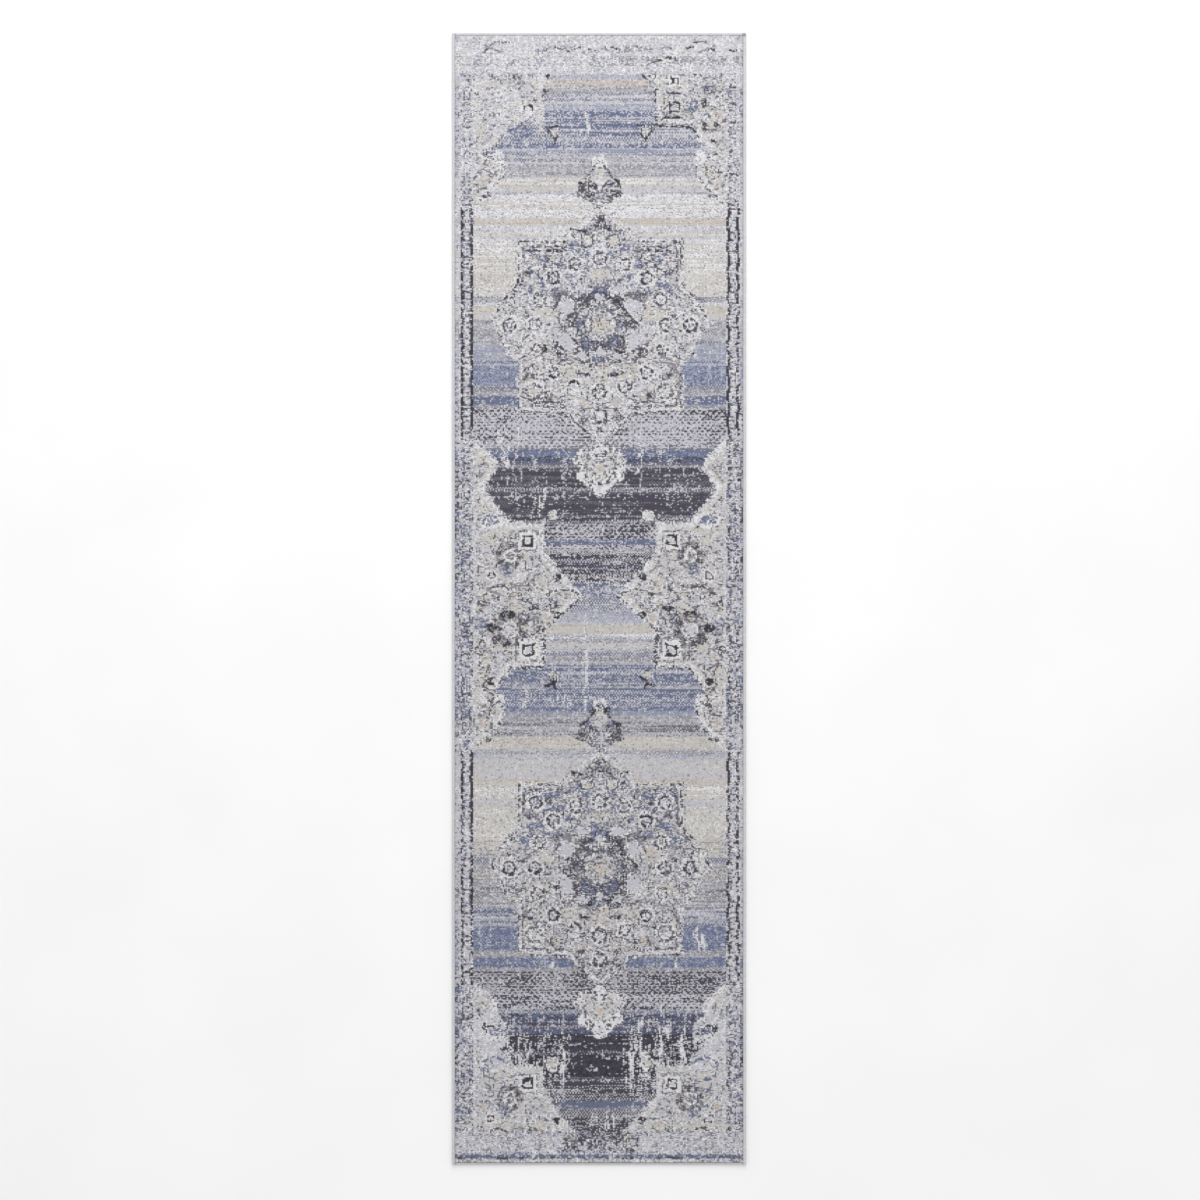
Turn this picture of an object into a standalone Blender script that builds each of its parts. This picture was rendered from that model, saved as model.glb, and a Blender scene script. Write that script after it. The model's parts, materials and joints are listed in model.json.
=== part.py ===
"""Runner rug: a low-pile woven runner, latexed underneath and overcast on all four sides.

Metres, +Z up, +Y along the length, with the origin in the middle of the underside. From the
floor up the layers are latex_backing, ground_weave and pile_face. On the two long sides the
overcast band is wrapped round a selvedge cord, and on the two short ends round the cut edge
of the ground weave, so the ends are thinner than the sides.
"""

import math

import bmesh
import bpy

# Overall sizes
RUG_WIDTH = 0.600
RUG_LENGTH = 2.310

# Layers, from the floor up
LATEX_THICKNESS = 0.0008
GROUND_THICKNESS = 0.0019
PILE_HEIGHT = 0.0044
PILE_EDGE_ROUND = 0.0012

# Overcast edges: a band's lap is how far its lips reach over the ground weave
SIDE_BAND_LAP = 0.0009
END_BAND_LAP = 0.0032
BAND_WALL = 0.0011
BAND_CORNER_RADIUS = 0.0018
SELVEDGE_CORD_DIAMETER = 0.0034

# The gap that touching pieces keep
CLEARANCE = 0.0003

ARC_STEPS = 6
PILE_ROUND_STEPS = 3
CORD_BEVEL_RESOLUTION = 3

# Heights worked out from the layers: the ground weave clears the latex and the band's lower lip
GROUND_BOTTOM = max(LATEX_THICKNESS, BAND_WALL) + CLEARANCE
GROUND_TOP = GROUND_BOTTOM + GROUND_THICKNESS
PILE_BOTTOM = GROUND_TOP + CLEARANCE

# A side band holds the cord, and an end band holds the ground weave's cut edge
CORD_CENTRE_HEIGHT = BAND_WALL + CLEARANCE + SELVEDGE_CORD_DIAMETER / 2
CORD_TOP = CORD_CENTRE_HEIGHT + SELVEDGE_CORD_DIAMETER / 2
SIDE_BAND_HEIGHT = max(CORD_TOP, GROUND_TOP) + CLEARANCE + BAND_WALL
END_BAND_HEIGHT = GROUND_TOP + CLEARANCE + BAND_WALL

# Plan sizes, each worked inwards from the rug's edge. The cut end of the ground weave stops
# where the end band's rounded corner would reach it.
CORD_INSET = BAND_WALL + CLEARANCE + SELVEDGE_CORD_DIAMETER / 2
GROUND_SIDE_INSET = CORD_INSET + SELVEDGE_CORD_DIAMETER / 2 + CLEARANCE
GROUND_END_INSET = max(BAND_WALL + CLEARANCE, BAND_CORNER_RADIUS)
SIDE_BAND_WIDTH = GROUND_SIDE_INSET + SIDE_BAND_LAP
END_BAND_WIDTH = GROUND_END_INSET + END_BAND_LAP

CORD_LENGTH = RUG_LENGTH - 2 * (BAND_WALL + CLEARANCE)
GROUND_WIDTH = RUG_WIDTH - 2 * GROUND_SIDE_INSET
GROUND_LENGTH = RUG_LENGTH - 2 * GROUND_END_INSET
FACE_WIDTH = RUG_WIDTH - 2 * (SIDE_BAND_WIDTH + CLEARANCE)
FACE_LENGTH = RUG_LENGTH - 2 * (END_BAND_WIDTH + CLEARANCE)


def clear_scene():
    """Remove every object of the startup scene."""
    for obj in list(bpy.data.objects):
        bpy.data.objects.remove(obj)


def make_collection(name):
    """A new collection under the scene's own."""
    collection = bpy.data.collections.new(name)
    bpy.context.scene.collection.children.link(collection)
    return collection


def make_material(name, color, roughness):
    """A plain Principled material; color is linear red, green and blue."""
    material = bpy.data.materials.new(name)
    material.use_nodes = True
    shader = material.node_tree.nodes["Principled BSDF"]
    shader.inputs["Base Color"].default_value = (*color, 1.0)
    shader.inputs["Roughness"].default_value = roughness
    shader.inputs["Metallic"].default_value = 0.0
    return material


def add_object(name, data, collection, parent, material):
    """Link data as a named object with one material, parented to the rug's empty."""
    obj = bpy.data.objects.new(name, data)
    collection.objects.link(obj)
    obj.parent = parent
    obj.data.materials.append(material)
    return obj


def flat_layer(width, length, thickness):
    """A cuboid mesh resting on z = 0, centred in plan."""
    mesh = bpy.data.meshes.new("flat_layer")
    bm = bmesh.new()
    bmesh.ops.create_cube(bm, size=1.0)
    bmesh.ops.scale(bm, vec=(width, length, thickness), verts=bm.verts)
    bmesh.ops.translate(bm, vec=(0, 0, thickness / 2), verts=bm.verts)
    bm.to_mesh(mesh)
    bm.free()
    return mesh


def band_profile(width, height):
    """The outside of an overcast band as (x, z) points.

    It runs from the end of the lower lip, round the rug's edge at x = 0, to the end of the
    upper lip, with a quarter circle at each outer corner.
    """
    radius = BAND_CORNER_RADIUS
    points = [(-width, 0.0)]
    for step in range(ARC_STEPS + 1):
        angle = -math.pi / 2 + step * math.pi / 2 / ARC_STEPS
        points.append((-radius + radius * math.cos(angle), radius + radius * math.sin(angle)))
    for step in range(ARC_STEPS + 1):
        angle = step * math.pi / 2 / ARC_STEPS
        points.append(
            (-radius + radius * math.cos(angle), height - radius + radius * math.sin(angle))
        )
    points.append((-width, height))
    return points


def band_mesh(width, height, length):
    """The band's outer skin, its profile drawn along y and centred on it, open towards the rug."""
    mesh = bpy.data.meshes.new("overcast_band")
    bm = bmesh.new()
    corners = [bm.verts.new((x, -length / 2, z)) for x, z in band_profile(width, height)]
    edges = [bm.edges.new(pair) for pair in zip(corners, corners[1:])]
    drawn = bmesh.ops.extrude_edge_only(bm, edges=edges)
    far_end = [item for item in drawn["geom"] if isinstance(item, bmesh.types.BMVert)]
    bmesh.ops.translate(bm, vec=(0, length, 0), verts=far_end)
    outward = max(bm.faces, key=lambda face: face.calc_center_median().x)
    outward.normal_update()
    if outward.normal.x < 0:
        bmesh.ops.reverse_faces(bm, faces=bm.faces)
    bm.to_mesh(mesh)
    bm.free()
    return mesh


def add_band(name, width, height, length, location, turn, collection, parent, material):
    """An overcast band with its wall grown inwards, its outer face at the given edge."""
    band = add_object(name, band_mesh(width, height, length), collection, parent, material)
    band.location = location
    band.rotation_euler = (0, 0, turn)
    wall = band.modifiers.new("yarn_wall", "SOLIDIFY")
    wall.thickness = BAND_WALL
    wall.offset = -1.0
    wall.use_even_offset = True
    return band


def add_latex_backing(collection, parent):
    """The size coat on the underside, between the bands' lower lips."""
    material = make_material("latex_size_coat", (0.62, 0.57, 0.46), 0.8)
    mesh = flat_layer(FACE_WIDTH, FACE_LENGTH, LATEX_THICKNESS)
    add_object("latex_backing", mesh, collection, parent, material)


def add_ground_weave(collection, parent):
    """The warp and weft cloth, whose edges run into the bands."""
    material = make_material("jute_ground_weave", (0.55, 0.47, 0.35), 0.9)
    mesh = flat_layer(GROUND_WIDTH, GROUND_LENGTH, GROUND_THICKNESS)
    ground = add_object("ground_weave", mesh, collection, parent, material)
    ground.location = (0, 0, GROUND_BOTTOM)


def add_pile_face(collection, parent):
    """The cut pile between the bands, its shorn edges rounded over."""
    material = make_material("heat_set_pile", (0.48, 0.48, 0.50), 0.95)
    mesh = flat_layer(FACE_WIDTH, FACE_LENGTH, PILE_HEIGHT)
    pile = add_object("pile_face", mesh, collection, parent, material)
    pile.location = (0, 0, PILE_BOTTOM)
    shorn_edge = pile.modifiers.new("shorn_edge", "BEVEL")
    shorn_edge.width = min(PILE_EDGE_ROUND, PILE_HEIGHT / 3)
    shorn_edge.segments = PILE_ROUND_STEPS
    shorn_edge.limit_method = "ANGLE"


def add_side_serging(collection, parent, material):
    """The bands on the two long sides, each the rug's full length."""
    for name, side, turn in (("serging_left", -1, math.pi), ("serging_right", 1, 0.0)):
        location = (side * RUG_WIDTH / 2, 0, 0)
        add_band(
            name, SIDE_BAND_WIDTH, SIDE_BAND_HEIGHT, RUG_LENGTH,
            location, turn, collection, parent, material,
        )


def add_end_serging(collection, parent, material):
    """The bands on the two short ends, fitted between the side bands."""
    for name, end in (("serging_bottom_end", -1), ("serging_top_end", 1)):
        location = (0, end * RUG_LENGTH / 2, 0)
        add_band(
            name, END_BAND_WIDTH, END_BAND_HEIGHT, FACE_WIDTH,
            location, end * math.pi / 2, collection, parent, material,
        )


def add_selvedge_cords(collection, parent):
    """The cord inside each side band, as a straight curve with a round section."""
    material = make_material("cotton_selvedge_cord", (0.60, 0.57, 0.50), 0.9)
    for name, side in (("selvedge_cord_left", -1), ("selvedge_cord_right", 1)):
        curve = bpy.data.curves.new(name, "CURVE")
        curve.dimensions = "3D"
        curve.bevel_depth = SELVEDGE_CORD_DIAMETER / 2
        curve.bevel_resolution = CORD_BEVEL_RESOLUTION
        curve.use_fill_caps = True
        spline = curve.splines.new("POLY")
        spline.points.add(1)
        spline.points[0].co = (0, -CORD_LENGTH / 2, 0, 1)
        spline.points[1].co = (0, CORD_LENGTH / 2, 0, 1)
        cord = add_object(name, curve, collection, parent, material)
        cord.location = (side * (RUG_WIDTH / 2 - CORD_INSET), 0, CORD_CENTRE_HEIGHT)


def main():
    """Build the whole rug under one empty."""
    clear_scene()
    collection = make_collection("runner_rug")
    rug = bpy.data.objects.new("runner_rug", None)
    collection.objects.link(rug)
    add_latex_backing(collection, rug)
    add_ground_weave(collection, rug)
    add_pile_face(collection, rug)
    band_material = make_material("serging_yarn", (0.60, 0.60, 0.62), 0.85)
    add_side_serging(collection, rug, band_material)
    add_end_serging(collection, rug, band_material)
    add_selvedge_cords(collection, rug)


main()
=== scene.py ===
import json
import math

import bpy
import numpy as np
from bpy.props import FloatProperty, FloatVectorProperty, IntProperty, PointerProperty
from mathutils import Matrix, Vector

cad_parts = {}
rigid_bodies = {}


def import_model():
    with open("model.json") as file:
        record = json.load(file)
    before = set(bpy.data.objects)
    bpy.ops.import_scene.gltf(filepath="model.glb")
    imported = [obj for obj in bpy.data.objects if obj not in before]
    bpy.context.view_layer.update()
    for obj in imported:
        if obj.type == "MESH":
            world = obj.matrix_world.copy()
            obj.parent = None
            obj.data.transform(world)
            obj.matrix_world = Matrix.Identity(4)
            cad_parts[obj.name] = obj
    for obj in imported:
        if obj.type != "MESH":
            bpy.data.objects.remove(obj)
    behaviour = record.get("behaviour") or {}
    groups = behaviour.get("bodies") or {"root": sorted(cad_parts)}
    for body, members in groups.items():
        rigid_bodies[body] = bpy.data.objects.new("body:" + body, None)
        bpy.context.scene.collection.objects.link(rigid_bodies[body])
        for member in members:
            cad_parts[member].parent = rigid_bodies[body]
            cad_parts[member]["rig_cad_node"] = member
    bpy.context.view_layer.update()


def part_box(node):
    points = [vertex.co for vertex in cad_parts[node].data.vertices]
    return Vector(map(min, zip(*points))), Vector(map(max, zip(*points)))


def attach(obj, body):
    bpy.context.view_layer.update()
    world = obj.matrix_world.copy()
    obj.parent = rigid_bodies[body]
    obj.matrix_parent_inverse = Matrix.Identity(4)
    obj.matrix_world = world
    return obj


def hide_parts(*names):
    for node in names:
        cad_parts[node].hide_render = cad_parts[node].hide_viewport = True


bl_info = {
    "name": "Worn Medallion Runner",
    "version": (1, 0, 0),
    "blender": (4, 5, 0),
    "location": "View3D > Sidebar > Runner Rug",
    "description": "Weaves a low-pile runner rug, its overcast edges, ground cloth and latex back",
    "category": "Object",
}

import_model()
BODY = "root"
MM = 0.001


def extent(node):
    """A CAD node's lowest and highest corners, as two numpy rows in metres."""
    return np.array(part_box(node), dtype=float)


PILE_BOX = extent("pile_face")
GROUND_BOX = extent("ground_weave")
LATEX_BOX = extent("latex_backing")
RUG_WIDTH = extent("serging_right")[1, 0] - extent("serging_left")[0, 0]
RUG_LENGTH = extent("serging_right")[1, 1] - extent("serging_right")[0, 1]


def linear(code):
    """An sRGB hex colour as linear red, green and blue."""
    values = [int(code[i : i + 2], 16) / 255 for i in (1, 3, 5)]
    return tuple(v / 12.92 if v <= 0.04045 else ((v + 0.055) / 1.055) ** 2.4 for v in values)


# ---------------------------------------------------------------------------------------------
# Settings
# ---------------------------------------------------------------------------------------------

YARNS = (
    "ivory", "pearl", "silver", "sand", "peach", "stone", "smoke", "sky", "slate", "charcoal",
    "ink",
)
IVORY, PEARL, SILVER, SAND, PEACH, STONE, SMOKE, SKY, SLATE, CHARCOAL, INK = range(len(YARNS))


def dyed(name, description, code):
    """A colour setting whose default is an sRGB hex value."""
    return FloatVectorProperty(
        name=name, description=description, subtype="COLOR", size=3, min=0.0, max=1.0,
        default=linear(code),
    )


def measure(name, description, default, least=0.0):
    """A length setting in metres."""
    return FloatProperty(
        name=name, description=description, default=default, unit="LENGTH", min=least, max=0.01,
        precision=5,
    )


class RugYarns(bpy.types.PropertyGroup):
    """The colours that the rug is woven, overcast and backed with."""

    ivory: dyed("Ivory", "Lightest pile yarn, of the halos and the worn ground", "#E1E0E2")
    pearl: dyed("Pearl", "Pale lilac grey pile yarn", "#C5C4CC")
    silver: dyed("Silver", "Cool light grey pile yarn", "#B4B3BA")
    sand: dyed("Sand", "Beige pile yarn of the pale stripes", "#CAC6C0")
    peach: dyed("Peach", "Pinkish tan pile yarn of the warm stripes", "#C8BDB4")
    stone: dyed("Stone", "Mid grey pile yarn", "#8F8D93")
    smoke: dyed("Smoke", "Darker grey pile yarn", "#6E6C74")
    sky: dyed("Sky", "Light periwinkle pile yarn", "#989EB4")
    slate: dyed("Slate", "Slate blue pile yarn", "#6B738F")
    charcoal: dyed("Charcoal", "Dark stripe yarn", "#4E4B57")
    ink: dyed("Ink", "Darkest yarn, of the drawn outlines", "#3A3841")
    serging: dyed("Overcast yarn", "Yarn wrapped round the four edges", "#CFCED2")
    ground: dyed("Ground cloth", "Jute and cotton ground weave", "#B7A27E")
    latex: dyed("Latex", "Size coat on the back", "#CFC6AE")
    cord: dyed("Selvedge cord", "Cotton cord inside the side bands", "#D5CDBB")


class RugSizes(bpy.types.PropertyGroup):
    """The loom's pitches and the depths of the surface."""

    reed_pitch: measure("Reed pitch", "Width of one column of tufts", 0.00285, 0.001)
    shot_pitch: measure("Shot pitch", "Length of one row of tufts", 0.0020, 0.001)
    furrow_depth: measure("Furrow depth", "Depth of the furrow between two columns", 0.00055)
    carved_depth: measure("Carved depth", "How far dark yarns stand below ivory", 0.0005)
    wrap_pitch: measure("Wrap pitch", "Spacing of the overcast yarn's turns", 0.0024, 0.001)
    wrap_depth: measure("Wrap depth", "Depth of the groove between two turns", 0.00035)
    corner_lift: measure("Corner lift", "How far each corner stands off the floor", 0.0012)
    wear_seed: IntProperty(
        name="Wear seed", description="Starts the random wear and flecks", default=11, min=0,
    )


# ---------------------------------------------------------------------------------------------
# The point paper: one yarn for each tuft. Lengths in this part are in millimetres: x across
# from the middle, y up the rug, u across from the middle on both sides alike, and v up from
# the middle of the nearest medallion.
# ---------------------------------------------------------------------------------------------

# The medallions' repeat, the first one's height, and how far the pattern sits off the middle
REPEAT = 1108.0
MEDALLION_Y = 559.0
PATTERN_SHIFT = 2.0

# The u of the border's two dark lines, and of the field's edge
BORDER_LINES = (262.0, 281.0)
FIELD_HALF_WIDTH = 258.0

# How wide an edge fades, and how far a drawn outline strays from its true place
SOFT = 1.8
WOBBLE = 6.0

# What shows of each yarn as its stroke goes from faint to full, and where each stage starts
FADE_LEVELS = (0.0, 0.08, 0.22)
FADES = {
    IVORY: (PEARL, IVORY, IVORY),
    PEARL: (PEARL, PEARL, PEARL),
    SILVER: (PEARL, SILVER, SILVER),
    SAND: (SAND, SAND, SAND),
    PEACH: (SAND, PEACH, PEACH),
    STONE: (SILVER, STONE, STONE),
    SMOKE: (STONE, STONE, SMOKE),
    SKY: (PEARL, SKY, SKY),
    SLATE: (SKY, SLATE, SLATE),
    CHARCOAL: (STONE, SMOKE, CHARCOAL),
    INK: (STONE, CHARCOAL, INK),
}

# The abrash, from the top edge down: each stripe's height, its first yarn, its second yarn,
# the second's share, and how the two are mixed
STRIPES = (
    (79, PEARL, IVORY, 0.5, "fleck"), (9, PEARL, SKY, 0.45, "dash"), (4, SILVER, SAND, 0.5, "row"),
    (10, PEACH, STONE, 0.16, "fleck"), (6, SAND, STONE, 0.5, "fleck"),
    (8, SILVER, STONE, 0.3, "dash"), (5, SILVER, SLATE, 0.4, "dash"),
    (8, PEARL, SLATE, 0.22, "dash"), (5, SILVER, SLATE, 0.45, "dash"),
    (6, PEARL, SAND, 0.4, "dash"), (13, SKY, PEARL, 0.45, "fleck"),
    (12, SLATE, PEARL, 0.25, "fleck"), (5, PEARL, SLATE, 0.4, "dash"),
    (7, SLATE, PEARL, 0.66, "row"), (28, SLATE, PEARL, 0.52, "row"),
    (15, PEARL, SLATE, 0.38, "dash"), (10, SLATE, PEARL, 0.34, "fleck"),
    (8, PEARL, SKY, 0.5, "row"), (8, SILVER, SLATE, 0.28, "dash"), (5, PEARL, SILVER, 0.6, "dash"),
    (7, SILVER, SLATE, 0.26, "dash"), (5, PEARL, SAND, 0.4, "row"),
    (8, SILVER, STONE, 0.4, "dash"), (17, SILVER, STONE, 0.2, "row"), (4, SAND, PEARL, 0.4, "row"),
    (12, SAND, IVORY, 0.45, "row"), (4, PEACH, SAND, 0.5, "row"), (11, PEARL, SAND, 0.4, "row"),
    (5, PEARL, SLATE, 0.14, "dash"), (12, IVORY, PEARL, 0.3, "fleck"),
    (20, IVORY, SAND, 0.5, "row"), (16, IVORY, PEARL, 0.3, "fleck"), (3, SAND, PEACH, 0.3, "row"),
    (13, PEACH, SAND, 0.55, "row"), (12, IVORY, PEARL, 0.6, "fleck"),
    (10, SAND, IVORY, 0.35, "row"), (8, PEARL, IVORY, 0.3, "row"), (5, PEARL, IVORY, 0.4, "dash"),
    (22, SAND, IVORY, 0.45, "row"), (8, IVORY, SAND, 0.4, "row"), (40, SAND, IVORY, 0.3, "row"),
    (40, SAND, IVORY, 0.25, "fleck"), (12, SILVER, SLATE, 0.25, "dash"),
    (7, IVORY, PEARL, 0.6, "fleck"), (14, PEACH, SAND, 0.4, "row"), (14, SAND, PEARL, 0.4, "row"),
    (30, SILVER, STONE, 0.35, "dash"), (12, SILVER, STONE, 0.25, "row"),
    (8, SILVER, SLATE, 0.3, "dash"), (12, SILVER, SKY, 0.45, "dash"),
    (16, SKY, SILVER, 0.35, "row"), (6, SILVER, SKY, 0.5, "dash"),
    (5, SLATE, SILVER, 0.45, "dash"), (5, SKY, PEARL, 0.5, "dash"),
    (38, SKY, SLATE, 0.42, "fleck"), (10, SLATE, SILVER, 0.45, "dash"),
    (14, SILVER, STONE, 0.5, "row"), (17, SLATE, PEARL, 0.16, "fleck"),
    (4, STONE, SKY, 0.5, "row"), (4, SILVER, STONE, 0.5, "row"),
    (22, PEARL, CHARCOAL, 0.46, "twill"), (40, PEARL, CHARCOAL, 0.28, "twill"),
    (18, PEARL, SMOKE, 0.33, "twill"), (4, STONE, SMOKE, 0.4, "dash"),
    (14, SLATE, SKY, 0.2, "fleck"), (12, SLATE, CHARCOAL, 0.5, "fleck"),
    (6, SMOKE, SLATE, 0.4, "dash"), (5, SILVER, SMOKE, 0.45, "dash"),
    (40, CHARCOAL, SMOKE, 0.35, "row"), (5, PEARL, CHARCOAL, 0.5, "dash"),
    (5, SMOKE, SILVER, 0.3, "dash"), (5, CHARCOAL, SMOKE, 0.4, "dash"),
    (42, CHARCOAL, SMOKE, 0.2, "row"), (4, SMOKE, SILVER, 0.35, "dash"),
    (12, CHARCOAL, SILVER, 0.24, "row"), (8, SILVER, CHARCOAL, 0.55, "twill"),
    (9, PEARL, CHARCOAL, 0.48, "twill"), (16, PEARL, CHARCOAL, 0.37, "twill"),
    (12, SLATE, SILVER, 0.14, "fleck"), (7, PEARL, CHARCOAL, 0.33, "twill"),
    (6, SILVER, SMOKE, 0.22, "dash"), (5, PEARL, CHARCOAL, 0.4, "dash"),
    (14, CHARCOAL, PEARL, 0.3, "dash"), (5, CHARCOAL, PEARL, 0.38, "dash"),
    (8, CHARCOAL, SLATE, 0.35, "dash"), (5, CHARCOAL, PEARL, 0.42, "dash"),
    (9, CHARCOAL, SILVER, 0.24, "dash"), (6, PEARL, CHARCOAL, 0.42, "dash"),
    (12, CHARCOAL, IVORY, 0.28, "dash"), (8, SLATE, IVORY, 0.33, "fleck"),
    (18, SLATE, PEARL, 0.44, "fleck"), (12, SILVER, SLATE, 0.38, "dash"),
    (6, PEARL, SMOKE, 0.42, "dash"), (13, SLATE, PEARL, 0.5, "dash"),
    (12, SILVER, SKY, 0.5, "row"), (12, PEARL, SKY, 0.4, "dash"), (4, PEARL, SILVER, 0.4, "row"),
    (20, SAND, PEACH, 0.45, "row"), (4, IVORY, SILVER, 0.3, "row"), (5, IVORY, SKY, 0.35, "dash"),
    (8, SILVER, STONE, 0.3, "dash"), (12, SAND, PEARL, 0.5, "row"),
    (8, PEARL, STONE, 0.28, "dash"), (12, SILVER, SLATE, 0.35, "dash"),
    (5, SILVER, STONE, 0.6, "row"), (12, SILVER, SLATE, 0.27, "row"),
    (16, SLATE, PEARL, 0.52, "row"), (16, SLATE, SILVER, 0.25, "fleck"),
    (5, SLATE, PEARL, 0.6, "dash"), (12, SLATE, SILVER, 0.45, "row"),
    (16, SLATE, PEARL, 0.34, "dash"), (4, PEARL, SLATE, 0.4, "dash"),
    (12, SLATE, PEARL, 0.4, "dash"), (9, SLATE, SKY, 0.3, "fleck"), (8, STONE, SKY, 0.6, "dash"),
    (16, SILVER, STONE, 0.4, "row"), (29, SILVER, SMOKE, 0.3, "row"),
    (24, SAND, PEACH, 0.25, "row"), (4, PEARL, SILVER, 0.4, "row"),
    (8, SILVER, STONE, 0.25, "dash"), (9, PEARL, SKY, 0.2, "row"), (24, SAND, PEARL, 0.5, "row"),
    (16, PEARL, SAND, 0.25, "fleck"), (15, PEACH, SAND, 0.5, "row"), (10, IVORY, SAND, 0.4, "row"),
    (16, SAND, IVORY, 0.25, "fleck"), (17, PEARL, SAND, 0.5, "row"),
    (49, SAND, IVORY, 0.25, "fleck"), (19, SAND, IVORY, 0.25, "dash"),
    (34, SAND, STONE, 0.22, "row"), (12, SILVER, SLATE, 0.45, "dash"),
    (8, SILVER, STONE, 0.4, "row"), (12, SAND, STONE, 0.6, "row"), (17, SAND, STONE, 0.32, "row"),
    (12, SILVER, STONE, 0.45, "dash"), (12, SILVER, SMOKE, 0.24, "row"),
    (20, STONE, SILVER, 0.5, "row"), (13, STONE, PEARL, 0.5, "row"),
    (20, SLATE, PEARL, 0.55, "row"), (4, SILVER, SKY, 0.5, "row"),
    (12, SLATE, SILVER, 0.62, "row"), (49, SLATE, SKY, 0.34, "fleck"),
    (14, SILVER, STONE, 0.45, "row"), (21, SLATE, SKY, 0.3, "fleck"),
    (8, STONE, SILVER, 0.4, "dash"), (45, SILVER, CHARCOAL, 0.5, "twill"),
    (33, PEARL, CHARCOAL, 0.44, "twill"), (8, SLATE, SILVER, 0.5, "dash"),
    (20, CHARCOAL, SLATE, 0.45, "fleck"), (4, CHARCOAL, SLATE, 0.4, "fleck"),
    (4, SMOKE, SILVER, 0.4, "dash"), (13, SLATE, CHARCOAL, 0.4, "fleck"),
    (35, CHARCOAL, INK, 0.45, "fleck"), (8, CHARCOAL, STONE, 0.35, "dash"),
    (45, CHARCOAL, INK, 0.6, "fleck"), (4, SMOKE, CHARCOAL, 0.4, "dash"),
    (28, CHARCOAL, SILVER, 0.24, "row"), (17, CHARCOAL, SILVER, 0.42, "dash"),
    (12, SLATE, SMOKE, 0.3, "fleck"), (4, SLATE, SKY, 0.4, "dash"),
    (18, SILVER, CHARCOAL, 0.5, "dash"), (43, CHARCOAL, SILVER, 0.28, "fleck"),
    (60, PEARL, IVORY, 0.4, "fleck"),
)

# The striped field's right-hand outline through one repeat, from the pinch above the medallion
# to the pinch below it, as (half-width, v)
FIELD_OUTLINE = (
    (37, 554), (102, 495), (114, 487), (114, 411), (181, 409), (213, 366), (237, 350), (196, 327),
    (200, 303), (212, 286), (232, 265), (254, 246), (258, 235), (258, -232), (238, -250),
    (214, -276), (211, -292), (226, -316), (240, -334), (196, -386), (184, -403), (116, -405),
    (116, -464), (37, -554),
)

# The medallion's right-hand outline from its top point to its lower one, as (half-width, v)
MEDALLION_OUTLINE = (
    (0, 242), (14, 226), (32, 212), (56, 190), (74, 171), (165, 170), (167, 82), (196, 50),
    (224, 4), (202, -22), (190, -58), (165, -76), (165, -172), (62, -178), (52, -198), (26, -216),
    (0, -236),
)

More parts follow.
